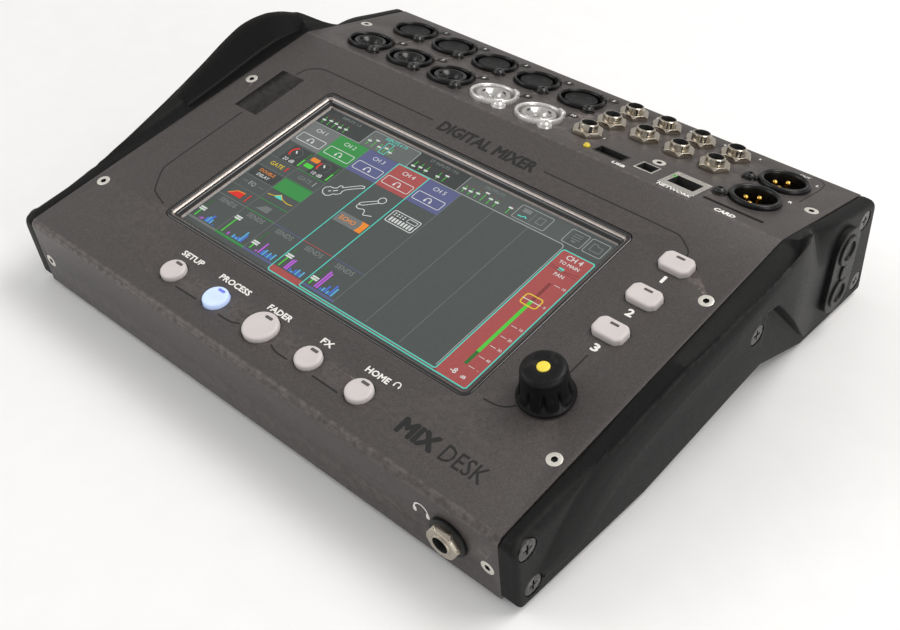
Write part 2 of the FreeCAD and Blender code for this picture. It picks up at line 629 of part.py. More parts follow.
plate("Glass", "@view_width + 6", "@view_height + 5", "@glass_thick", "panel", "@screen_x",
      "@screen_at", "0 - @screen_recess - @glass_thick", "touch_glass")
plate("Module", "@view_width + 8", "@view_height + 7", "@module_thick", "panel", "@screen_x",
      "@screen_at", "0 - @screen_recess - @glass_thick - @module_thick", "display_module")
bracket = cut("Bracket", box("BracketPlate", "@screen_width + 2 * @bezel_lip",
                             "@screen_height + 2 * @bezel_lip", "1"),
              [box("BracketWindow", "@view_width - 40", "@view_height - 30", "4", z="-1")])
node(put(bracket, "panel", "@screen_x", "@screen_at",
         "0 - @screen_recess - @glass_thick - @module_thick - 1"), "display_bracket")
window = join("Window", [box("WindowFace", "@window_width", "@window_length", "@sheet",
                             z="0 - @sheet"),
                         box("WindowLip", "@window_width + 3", "@window_length + 3", "1",
                             z="0 - @sheet - 1")])
node(put(window, "panel", "@window_x", "@window_at", "0"), "antenna_window")

# ---------------------------------------------------------------- buttons, keys and their board
STOP = "(@board_drop - @switch_high - @travel - @switch_gap)"


def pressed_piece(name, draw_cap, draw_guard, rise, x, y, label):
    """A cap that stands in its hole, a guard under the sheet, and a stem towards its switch."""
    body = new_body(name)
    cap_sketch = draw_cap(new_sketch(body, name + "Cap", "XY_Plane", "0 - @sheet - 1.2"))
    cap = pad(body, cap_sketch, name + "CapPad", "@sheet + 1.2 + %s" % rise)
    doc.recompute()
    crown = size(rise[1:])
    rim = edges_where(cap, lambda first, last, middle: min(
        first.z, last.z, middle.z) > crown - 0.01)
    dress(body, "Fillet", name + "Crown", cap, rim, Radius="0.35 * " + rise)
    doc.recompute()
    pad(body, draw_guard(new_sketch(body, name + "Guard", "XY_Plane", "0 - @sheet - 1.2")),
        name + "GuardPad", "0.8")
    stem = disc(new_sketch(body, name + "Stem", "XY_Plane", "0 - " + STOP), "0", "0", "@stem_size")
    pad(body, stem, name + "StemPad", STOP + " - @sheet - 1.0")
    return node(put(body, "panel", x, y, "0"), label)


for i, ((x, y), across) in enumerate(zip(BUTTONS, BUTTON_SIZES), start=1):
    pressed_piece("Button%d" % i, lambda sk, a=across: disc(sk, "0", "0", a),
                  lambda sk, a=across: disc(sk, "0", "0",
                                            "%s + 2 * @key_gap + 2 * @guard_flange" % a),
                  "@button_rise", x, y, "round_button_%d" % i)
for i, (x, y) in enumerate(KEYS, start=1):
    pressed_piece("Key%d" % i,
                  lambda sk: chamfered_outline(sk, "@key_width", "@key_depth", "@key_chamfer"),
                  lambda sk: chamfered_outline(
                      sk, "@key_width + 2 * @key_gap + 2 * @guard_flange",
                      "@key_depth + 2 * @key_gap + 2 * @guard_flange", "@key_chamfer"),
                  "@key_rise", x, y, "soft_key_%d" % i)

BOARD_TOP = "0 - @board_drop"
switches = [box("PushSwitch", "6", "6", "@switch_high", x, y, BOARD_TOP) for x, y in BUTTONS + KEYS]
strip = box("ButtonStrip", "4 * @button_pitch + 24", "22", "@board_thick", "@button_x",
            "@button_row + 0.5", "%s - @board_thick" % BOARD_TOP)
KEY_TOP_END = "(@key_first + 2 * @key_pitch + 12)"
column = box("KeyColumn", "24", "%s - 36" % KEY_TOP_END, "@board_thick", "@key_x",
             "(%s + 36) / 2" % KEY_TOP_END, "%s - @board_thick" % BOARD_TOP)
boards = [join("ButtonBoard", [strip] + switches[:5]), join("KeyBoard", [column] + switches[5:])]
node(put(group("ControlBoards", boards), "panel", "0", "0", "0"), "control_boards")

# ---------------------------------------------------------------- encoder and knob
def turned(name, points):
    """A solid of revolution about local Z from formulas for radius and height."""
    body = new_body(name)
    sk = outline(new_sketch(body, name + "Half", "XZ_Plane"), points)
    spin = body.newObject("PartDesign::Revolution", name + "Turn")
    spin.Profile = sk
    spin.ReferenceAxis = (sk, ["V_Axis"])
    spin.Angle = 360
    return body


SHAFT_BORE = "(@shaft_size / 2 + @run_gap)"
SHAFT_R = "(@shaft_size / 2)"
CROWN = "(@knob_lift + @knob_height)"
knob_blank = turned("KnobBlank", [
    ("7.2", "@knob_lift"), ("@knob_skirt / 2 - 0.3", "@knob_lift"),
    ("@knob_skirt / 2", "@knob_lift + 0.3"), ("@knob_skirt / 2", "@knob_lift + 1.4"),
    ("@knob_foot / 2 + 0.8", "@knob_lift + 2.8"), ("@knob_foot / 2", "@knob_lift + 4.2"),
    ("@knob_top / 2", CROWN + " - 1.2"), ("@knob_top / 2 - 1.0", CROWN),
    ("@cap_size / 2", CROWN), ("@cap_size / 2", CROWN + " - 1.0"),
    ("0", CROWN + " - 1.0"), ("0", CROWN + " - 3.0"), (SHAFT_R, CROWN + " - 3.0"),
    (SHAFT_R, "@knob_lift + 5.5"), ("7.2", "@knob_lift + 5.5")])
flutes = []
for i in range(int(size("flutes"))):
    turn = math.radians(360.0 * i / size("flutes"))
    flutes.append(cone("Flute", "1.6", "@flute_size * 1.75", "@knob_height",
                       "(@knob_foot / 2 + 0.7) * %.6f" % math.cos(turn),
                       "(@knob_foot / 2 + 0.7) * %.6f" % math.sin(turn), "@knob_lift + 3.2"))
node(put(cut("Knob", knob_blank, flutes), "panel", "@knob_x", "@knob_at", "0"), "control_knob")
cap = join("CapDisc", [rod("CapBody", "@cap_size - 0.04", "1.0"),
                       cone("CapDome", "@cap_size - 0.04", "@cap_size - 1.2", "0.3", z="1.0")])
node(put(cap, "panel", "@knob_x", "@knob_at", CROWN + " - 1.0"), "knob_cap")
shaft = rod("Shaft", "@shaft_size - 0.02", CROWN + " - 3.0 + @sheet + 4.0", z="0 - @sheet - 4.0")
node(put(group("ShaftGroup", [shaft]), "panel", "@knob_x", "@knob_at", "0"), "encoder_shaft")
encoder = cut("Encoder", join("EncoderCase", [
    box("EncoderBox", "13", "12.5", "6.8", z="0 - @sheet - 6.8"),
    rod("EncoderBush", "@bush_size", "@sheet + 4.6", z="0 - @sheet")]), [
    rod("EncoderBore", "2 * " + SHAFT_BORE, "@sheet + 4.6 + 4.6", z="0 - @sheet - 4.4")])
node(put(encoder, "panel", "@knob_x", "@knob_at", "0"), "encoder_body")
encoder_nut = cut("EncoderNut", hexagon("EncoderHex", "10", "2"),
                  [rod("EncoderHexBore", "@bush_size", "4", z="-1")])
node(put(encoder_nut, "panel", "@knob_x", "@knob_at", "0"), "encoder_nut")

# ---------------------------------------------------------------- round sockets
def socket_shell(name, bore, deep, screw_side):
    """A socket body with a flange on the deck, an open bore, and room for its screw's head."""
    flange = join(name + "Flange", [
        rod(name + "Rim", "@flange_size", "@flange_rise - 0.6"),
        cone(name + "RimEdge", "@flange_size", "@flange_size - 1.0", "0.6",
             z="@flange_rise - 0.6")])
    shell_blank = join(name + "Blank", [
        flange, rod(name + "Barrel", "@socket_body", "@socket_deep", z="0 - @socket_deep")])
    return cut(name + "Shell", shell_blank,
               [rod(name + "Well", bore, "%s + 5" % deep, z="0 - (%s)" % deep),
                rod(name + "Notch", "@pan_head + 0.3", "6", screw_side[0], screw_side[1], "0")])


def pin_places(angles, circle):
    for angle in angles:
        turn = math.radians(angle)
        yield "(%s) * %.6f" % (circle, math.cos(turn)), "(%s) * %.6f" % (circle, math.sin(turn))


for i, (x, y) in enumerate(COMBOS, start=1):
    core = join("ComboCore", [
        rod("ComboInsert", "@insert_size", "@ring_deep + 0.5", z="0 - @ring_deep"),
        cone("ComboFace", "@insert_size", "@insert_size - 1.6", "0.8", z="0.5")])
    bores = [rod("ComboBore", "@jack_bore", "@socket_deep", z="2.0 - @socket_deep + 1.0"),
             cone("ComboMouth", "@jack_bore", "@jack_bore + 3", "1.6", z="-0.2")]
    bores += [rod("ComboPin", "@pin_hole - 0.4", "9", px, py, "-7")
              for px, py in pin_places((0, 180, 270), "@pin_circle + 1.5")]
    shell_part = socket_shell("Combo", "@ring_bore", "@ring_deep", NEAR_SIDE)
    node(put(cut("ComboSocket", join("ComboWhole", [shell_part, core]), bores), "deck", x, y, "0"),
         "combo_socket_%d" % i)

mic_inserts = []
for i, (x, y) in enumerate(MICS, start=1):
    core = join("MicCore", [
        rod("MicInsert", "@insert_size", "@ring_deep + 0.9", z="0 - @ring_deep"),
        cone("MicFace", "@insert_size", "@insert_size - 0.8", "0.4", z="0.9")])
    bores = [rod("MicPin", "@pin_hole", "12", px, py, "-10")
             for px, py in pin_places((0, 180, 270), "@pin_circle")]
    key_slot = box("MicKey", "2.2", "1.6", "14", "0", "@insert_size / 2 - 0.3", "-10")
    mic_inserts.append(put(cut("MicInsertDrilled", core, bores + [key_slot]), "deck", x, y, "0"))
    shell_part = socket_shell("Mic", "@ring_bore", "@ring_deep", NEAR_SIDE)
    node(put(group("MicSocket", [shell_part]), "deck", x, y, "0"), "mic_socket_%d" % i)
node(group("MicInserts", mic_inserts), "mic_inserts")

output_pins = []
for i, (x, y) in enumerate(OUTPUTS, start=1):
    shell_part = socket_shell("Output", "@output_bore", "@output_deep", OUTPUT_SIDE)
    node(put(group("OutputSocket", [shell_part]), "deck", x, y, "0"), "output_socket_%d" % i)
    pins = []
    for px, py in pin_places((90, 270, 180), "@pin_circle"):
        pins.append(rod("Pin", "@pin_size", "@output_deep - @pin_tip", px, py,
                        "0 - @output_deep"))
        pins.append(cone("PinTip", "@pin_size", "@pin_size * 0.5", "0.8", px, py,
                         "0 - @pin_tip"))
    output_pins.append(put(join("OutputPins", pins), "deck", x, y, "0"))
node(group("AllOutputPins", output_pins), "output_pins")


def domed_screw(name):
    """A pan-head screw of the round sockets."""
    head = join(name + "Head", [rod(name + "Rim", "@pan_head", "1.2"),
                                cone(name + "Dome", "@pan_head", "@pan_head - 1.8", "1.0", z="1.2"),
                                rod(name + "Shank", "2.6", "8", z="-8")])
    return cut(name + "Driven", head, [hexagon(name + "Lobe", "1.9", "2", z="1.2")])


node(group("SocketScrews", [put(domed_screw("SocketScrew"), "deck", x, y, "0")
                            for x, y in SOCKET_SCREWS]), "socket_screws")

# ---------------------------------------------------------------- quarter-inch jacks
def jack(name, rise):
    """A jack: case under the sheet, threaded bush through it, and a blind bore."""
    case = join(name + "Case", [
        box(name + "Box", "@jack_body", "@jack_body", "@jack_deep", z="0 - @sheet - @jack_deep"),
        rod(name + "Bush", "@bush_outer", "@sheet + %s - 0.4" % rise, z="0 - @sheet"),
        cone(name + "Lip", "@bush_outer", "@bush_outer - 0.8", "0.4", z="%s - 0.4" % rise)])
    return cut(name, case, [rod(name + "Bore", "@jack_bore", "@jack_deep + @sheet + 8",
                                z="2.0 - @sheet - @jack_deep")])


def jack_nut(name, flats, rise, z="0"):
    blank = doc.addObject("Part::Common", name + "Round")
    blank.Base = hexagon(name + "Hex", flats, rise, z=z)
    blank.Tool = cone(name + "Bevel", "(%s) * 1.26" % flats, "(%s) * 1.02" % flats, rise, z=z)
    return cut(name, blank, [rod(name + "Bore", "@bush_outer", "20", z="-5")])


for column, label in enumerate("abcd"):
    places = [(x, y) for (x, y), at_column in zip(LINES, (0, 0, 0, 1, 1, 2, 2, 3, 3))
              if at_column == column]
    node(group("LineJacks" + label, [put(jack("LineJack", "@bush_rise"), "deck", x, y, "0")
                                     for x, y in places]), "line_jacks_" + label)
node(group("LineNuts", [put(jack_nut("LineNut%d" % i, "@nut_across", "@nut_rise"), "deck", x, y,
                            "0") for i, (x, y) in enumerate(LINES)]), "line_jack_nuts")
PHONES = ("front", "@phones_x", "0 - @phones_drop", "0")
node(put(jack("PhonesJack", "(@washer_rise + @phones_nut_rise + 0.4)"), *PHONES), "phones_jack")
washer = cut("PhonesWasher", join("WasherBlank", [
    rod("WasherFoot", "@washer_size", "@washer_rise - 0.5"),
    cone("WasherEdge", "@washer_size", "@washer_size - 1.4", "0.5", z="@washer_rise - 0.5")]),
    [rod("WasherBore", "@bush_outer", "6", z="-1")])
node(put(washer, *PHONES), "phones_washer")
node(put(jack_nut("PhonesNut", "@nut_across", "@phones_nut_rise", "@washer_rise"), *PHONES),
     "phones_nut")

# ---------------------------------------------------------------- data ports, lamp, card reader
def port(name, wide, deep, mouth_wide, mouth_deep, floor, x, y, label, extra=()):
    """A rectangular port: a shell flush with the deck and a cavity, with pieces left inside."""
    shell_block = box(name + "Shell", wide, deep, "@deck_board_drop + 0.1",
                      z="0 - @deck_board_drop")
    hollow = cut(name + "Hollow", shell_block,
                 [box(name + "Mouth", mouth_wide, mouth_deep, "30", z="0 - (%s)" % floor)])
    piece = join(name, [hollow] + list(extra)) if extra else group(name, [hollow])
    return node(put(piece, "deck", x, y, "0"), label)


port("UsbA", "@usb_a_width", "@usb_a_depth", "@usb_a_width - 1.2", "@usb_a_depth - 1.4", "13",
     "@usb_a_x", "@usb_a_row", "usb_a_port",
     [box("UsbTongue", "11.0", "1.6", "10", y="1.5", z="-13.5")])
port("UsbB", "@usb_b_width", "@usb_b_depth", "@usb_b_width - 1.6", "@usb_b_depth - 1.6", "12",
     "@usb_b_x", "@usb_b_row", "usb_b_port", [box("DataPost", "4.8", "2.4", "7.5", z="-12.5")])
port("Net", "@net_width", "@net_depth", "@net_width - 4.7", "@net_depth - 7.0", "13",
     "@net_x", "@net_row", "network_port")
reader = cut("CardReader", box("ReaderBox", "@card_slot_width + 2", "@card_slot_depth + 3.4",
                               "@deck_board_drop - @sheet", z="0 - @deck_board_drop"),
             [box("ReaderSlot", "@card_slot_width", "@card_slot_depth", "26", z="-20")])
node(put(reader, "deck", "@card_x", "@card_row", "0"), "card_reader")
lamp = join("Lamp", [rod("LampBody", "@lamp_size", "@sheet + 3.4", z="0 - @sheet - 3"),
                     cone("LampDome", "@lamp_size", "@lamp_size - 1.2", "0.7", z="0.4")])
node(put(lamp, "deck", "@lamp_x", "@lamp_row", "0"), "status_lamp")

# ---------------------------------------------------------------- boards, stand-offs and feet
plate("DeckBoard", "@body_width - 14", "@deck_length - 12", "@board_thick", "deck", "0",
      "@deck_length / 2", "0 - @deck_board_drop - @board_thick", "deck_board")
MAIN_Z = "@foot_height + @tray_sheet + @board_rise"
MAIN_DEEP = "(@base_depth - 2 * (@jack_deep + 6))"
plate("MainBoard", "@body_width - 22", MAIN_DEEP, "@board_thick", "world", "0",
      "@base_depth / 2 - @setback", MAIN_Z, "main_board")
posts = [rod("Post", "5", "@board_rise", "%d * (@body_width / 2 - 20)" % sx,
             "@base_depth / 2 - @setback + %d * (%s / 2 - 9)" % (sy, MAIN_DEEP),
             "@foot_height + @tray_sheet") for sx in (-1, 1) for sy in (-1, 0, 1)]
node(group("Posts", posts), "board_posts")
feet = [cone("Foot", "@foot_size - 1.2", "@foot_size", "@foot_height",
             "%d * (@body_width / 2 - @foot_inset)" % sx,
             "@base_depth / 2 - @setback + %d * (@base_depth / 2 - @foot_inset)" % sy, "0")
        for sx in (-1, 1) for sy in (-1, 1)]
node(group("Feet", feet), "rubber_feet")

# ---------------------------------------------------------------- rear face: power inlet and switch
inlet = cut("Inlet", join("InletBody", [rod("InletRim", "@inlet_size + 3", "1.6"),
                                        rod("InletBarrel", "@inlet_size", "12", z="-12")]),
            [rod("InletBore", "6.4", "12", z="-9")])
inlet_pin = rod("InletPin", "2.0", "8.5", z="-9.5")
node(put(join("InletWithPin", [inlet, inlet_pin]), "rear", "@inlet_x", "@rear_item_drop", "0"),
     "power_inlet")
frame_blank = join("SwitchBody", [
    box("SwitchRim", "@switch_width + 2.4", "@switch_depth + 2.2", "1.2"),
    box("SwitchCase", "@switch_width", "@switch_depth", "13", z="-13")])


def cross_pin(name, across, long):
    """A pin along local Y through the rocker's pivot."""
    pin = rod(name, across, long, y="(%s) / 2" % long, z="0 - @pivot_drop")
    pin.Placement = FreeCAD.Placement(V(0, 0, 0), FreeCAD.Rotation(V(1, 0, 0), 90))
    return group(name + "Across", [pin])


switch_frame = cut("SwitchFrame", frame_blank, [
    box("SwitchWell", "@rocker_width + 2 * @rocker_gap", "@rocker_depth + 0.8", "12", z="-9"),
    cross_pin("PivotBore", "@pivot_size + 2 * @run_gap", "@rocker_depth + 2.2")])
node(put(switch_frame, "rear", "@switch_x", "@rear_item_drop", "0"), "switch_frame")


def tipped(x, z):
    """A point of the rocker's section, tipped to the switch's off position."""
    half = "(@switch_throw / 2 * 1 deg)"
    return ("(%s) * cos%s + (%s) * sin%s" % (x, half, z, half),
            "0 - (%s) * sin%s + (%s) * cos%s" % (x, half, z, half))


rocker = new_body("Rocker")
half_rocker = "@rocker_width / 2"
rocker_sketch = outline(new_sketch(rocker, "RockerSection", "XZ_Plane"), [
    tipped("0 - %s" % half_rocker, "3.2"), tipped("0 - %s" % half_rocker, "0"),
    tipped("-5", "-5"), tipped("5", "-5"), tipped(half_rocker, "0"), tipped(half_rocker, "3.2"),
    tipped("0", "1.6")])
pad(rocker, rocker_sketch, "RockerPad", "@rocker_depth", symmetric=True)
rocker = join("RockerWithPin", [rocker, cross_pin("PivotPin", "@pivot_size",
                                                  "@rocker_depth + 1.6")])
node(put(rocker, "rear", "@switch_x", "@rear_item_drop", "0"), "rocker_switch")

# ---------------------------------------------------------------- check and write
doc.recompute()
for item in doc.Objects:
    if "Invalid" in item.State or "Error" in item.State:
        raise RuntimeError("%s did not rebuild: %s" % (item.Label, item.State))
os.makedirs("parts", exist_ok=True)
for item in nodes:
    if item.Shape.isNull() or not item.Shape.isValid():
        raise RuntimeError("%s has no valid shape" % item.Label)
for item in nodes:
    item.Shape.exportStep("parts/%s.step" % item.Label)
print("%d sub-parts written" % len(nodes))
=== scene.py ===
import bmesh
import bpy
import numpy as np
from math import atan, copysign, cos, pi, radians, sin, sqrt, tan
from mathutils import Matrix, Vector


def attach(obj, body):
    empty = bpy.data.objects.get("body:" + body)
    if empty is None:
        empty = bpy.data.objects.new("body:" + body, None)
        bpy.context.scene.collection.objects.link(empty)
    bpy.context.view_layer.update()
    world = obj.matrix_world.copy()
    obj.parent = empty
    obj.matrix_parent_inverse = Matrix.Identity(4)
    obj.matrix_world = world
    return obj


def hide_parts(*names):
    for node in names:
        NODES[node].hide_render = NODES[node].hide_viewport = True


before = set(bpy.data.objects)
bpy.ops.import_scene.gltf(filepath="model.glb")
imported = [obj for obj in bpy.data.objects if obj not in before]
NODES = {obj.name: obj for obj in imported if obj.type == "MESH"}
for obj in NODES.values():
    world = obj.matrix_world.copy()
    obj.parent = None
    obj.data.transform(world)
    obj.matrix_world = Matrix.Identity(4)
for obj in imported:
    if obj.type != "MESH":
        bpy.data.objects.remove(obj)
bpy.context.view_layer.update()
MM = 0.001
scene = bpy.context.scene


def put(name, data):
    """A new object in the scene."""
    obj = bpy.data.objects.new(name, data)
    scene.collection.objects.link(obj)
    return obj


# ---------------- the part's own faces, in mm
SETBACK, FOOT = 110.17, 3
DEPTH, HALF = 225.6, 126     # front to back of the metal, and half its width
SLAB_X = 133     # outer face of a cheek's flat part
OVERHANG, LIP = 3.1, 31.1
PANEL_TURN, DECK_TURN = radians(10), radians(-10.4)
PANEL_LONG, DECK_LONG = 158.4, 67.1
BEND = (-SETBACK - OVERHANG, FOOT + LIP)
RIDGE = (BEND[0] + PANEL_LONG * cos(PANEL_TURN), BEND[1] + PANEL_LONG * sin(PANEL_TURN))
REAR = (RIDGE[0] + DECK_LONG * cos(DECK_TURN), RIDGE[1] + DECK_LONG * sin(DECK_TURN))
TAIL = (DEPTH - SETBACK, FOOT)
FACES = {
    "panel": (BEND, PANEL_TURN),
    "deck": (RIDGE, DECK_TURN),
    "front": (BEND, pi / 2 + atan(OVERHANG / LIP)),
}


def on(face, x=0, y=0, z=0, spin=0):
    """A matrix from millimetres at a place on a face, z out of it, to the row frame in metres."""
    (oy, oz), turn = FACES[face]
    return (Matrix.Translation((0, oy * MM, oz * MM)) @ Matrix.Rotation(turn, 4, "X")
        @ Matrix.Translation((x * MM, y * MM, z * MM)) @ Matrix.Rotation(spin, 4, "Z")
        @ Matrix.Scale(MM, 4))


# places on the faces, across and along, in mm
SCREW_ACROSS, FRONT_SCREW, PANEL_SCREWS, DECK_SCREW, DECK_CENTRE_SCREW = (
    120.9, -18.5, (34, 118.2), 33.5, (60, 19.6))
SCREEN_X, SCREEN_S = -0.4, 83.5
SCREEN_WIDE, SCREEN_TALL, RECESS = 164, 95.1, 4.2
BUTTON_S, BUTTON_X, PITCH = 16.5, -0.3, 25.4
KEY_X, KEY_FIRST, KEY_PITCH = 102.9, 87.4, 19.6
KNOB = (102.7, 52.6, 0.6)
PHONES = (105.1, -15.6)
SOCKET_X, SOCKET_PITCH, COMBO_Q, MIC_Q = -100.2, 25.3, 15.6, 46
SCREW_NEAR, SCREW_OUT = (8.9, -7.3), (-11.7, -7.3)
LATCH_TURN = radians(-36)
# these two combination sockets are drawn in pale metal colours: a painted highlight
PAINTED_HIGHLIGHT_SOCKETS = (3, 4)     # the combination sockets that catch the light
OUTPUT_X, OUTPUT_ROWS = 101.8, (23.4, 46.9)
JACK_ROWS = (18.6, 35.6, 52.6)
JACKS = (("line_jacks_a", 24.8, JACK_ROWS), ("line_jacks_b", 41.8, JACK_ROWS[1:]),
    ("line_jacks_c", 58.8, JACK_ROWS[1:]), ("line_jacks_d", 75.8, JACK_ROWS[1:]))
NETWORK, USB_B = (77.6, 11.4), (60, 11.2)


# ---------------- materials
def srgb(r, g, b):
    """8-bit display values to linear colour."""
    return tuple(v / 12.92 if v <= 0.04045 else ((v + 0.055) / 1.055) ** 2.4
        for v in (r / 255, g / 255, b / 255))


PLASTIC_IOR = 1.5
PRINT_SHARE = 0.3     # how much of a painted surface's colour is reflected rather than given off


def material(name, colour, rough, metallic=0, mottle=0.12, scale=60, vary=0.06,
        grain=900, depth=0.02, strength=0.25, wear=None, coat=0, coat_rough=0.1,
        shine=0.5, glow=0, painted=False, fleck=0, sheen=0, dust=0):
    """A procedural surface: mottled colour, uneven gloss, fine relief and worn edges."""
    mat = bpy.data.materials.new(name)
    mat.use_nodes = True
    tree = mat.node_tree
    nodes, links = tree.nodes, tree.links
    shader = nodes["Principled BSDF"]
    for key, value in (("Metallic", metallic), ("IOR", PLASTIC_IOR), ("Specular IOR Level", shine),
            ("Coat Weight", coat), ("Coat Roughness", coat_rough), ("Sheen Weight", sheen)):
        shader.inputs[key].default_value = value
    place = nodes.new("ShaderNodeTexCoord").outputs["Object"]

    def noise(size, detail=3):
        node = nodes.new("ShaderNodeTexNoise")
        for key, value in (("Scale", size), ("Detail", detail), ("Roughness", 0.55)):
            node.inputs[key].default_value = value
        links.new(place, node.inputs["Vector"])
        return node.outputs["Fac"]

    def remap(value, low, high, start=0.3, end=0.7):
        node = nodes.new("ShaderNodeMapRange")
        for key, number in (("From Min", start), ("From Max", end), ("To Min", low), ("To Max", high)):
            node.inputs[key].default_value = number
        links.new(value, node.inputs["Value"])
        return node.outputs["Result"]

    def mix(factor, first, second):
        node = nodes.new("ShaderNodeMix")
        node.data_type = "RGBA"
        links.new(factor, node.inputs["Factor"])
        for value, socket in ((first, node.inputs[6]), (second, node.inputs[7])):
            if isinstance(value, tuple):
                socket.default_value = value if len(value) == 4 else value + (1,)
            else:
                links.new(value, socket)
        return node.outputs[2]

    dark = tuple(c * (1 - mottle) for c in colour)
    light = tuple(min(1, c * (1 + mottle)) for c in colour)
    if painted:
        attribute = nodes.new("ShaderNodeVertexColor")
        attribute.layer_name = "paint"
        tone = nodes.new("ShaderNodeMix")
        tone.data_type = "RGBA"
        tone.blend_type = "MULTIPLY"
        tone.inputs["Factor"].default_value = 1
        links.new(attribute.outputs["Color"], tone.inputs[6])
        links.new(mix(remap(noise(scale), 0, 1), (PRINT_SHARE - mottle,) * 3, (PRINT_SHARE,) * 3),
            tone.inputs[7])
        base = tone.outputs[2]
    else:
        base = mix(remap(noise(scale), 0, 1), dark, light)
    if fleck:
        speck = remap(noise(2600, 2), 0, 1, 0.5, 0.72)
        base = mix(speck, base, tuple(min(1, c * (1 + fleck) + 0.02 * fleck) for c in colour))
    if dust:
        base = mix(remap(noise(240, 5), 0, dust, 0.55, 0.8), base, srgb(150, 145, 138))
    if wear:
        edge = nodes.new("ShaderNodeNewGeometry").outputs["Pointiness"]
        rubbed = nodes.new("ShaderNodeMath")
        rubbed.operation = "MULTIPLY"
        links.new(remap(edge, 0, 1, 0.52, 0.60), rubbed.inputs[0])
        links.new(remap(noise(400, 4), 0.1, 1, 0.4, 0.6), rubbed.inputs[1])
        base = mix(rubbed.outputs[0], base, srgb(*wear))
    links.new(base, shader.inputs["Base Color"])
    if glow:
        links.new(attribute.outputs["Color"] if painted else base, shader.inputs["Emission Color"])
        shader.inputs["Emission Strength"].default_value = glow
    gloss = remap(noise(scale * 2.3, 4), max(0.02, rough - vary), min(1, rough + vary))
    links.new(gloss, shader.inputs["Roughness"])
    if depth:
        bump = nodes.new("ShaderNodeBump")
        bump.inputs["Strength"].default_value = strength
        bump.inputs["Distance"].default_value = depth * MM
        links.new(noise(grain, 2), bump.inputs["Height"])
        links.new(bump.outputs["Normal"], shader.inputs["Normal"])
    return mat


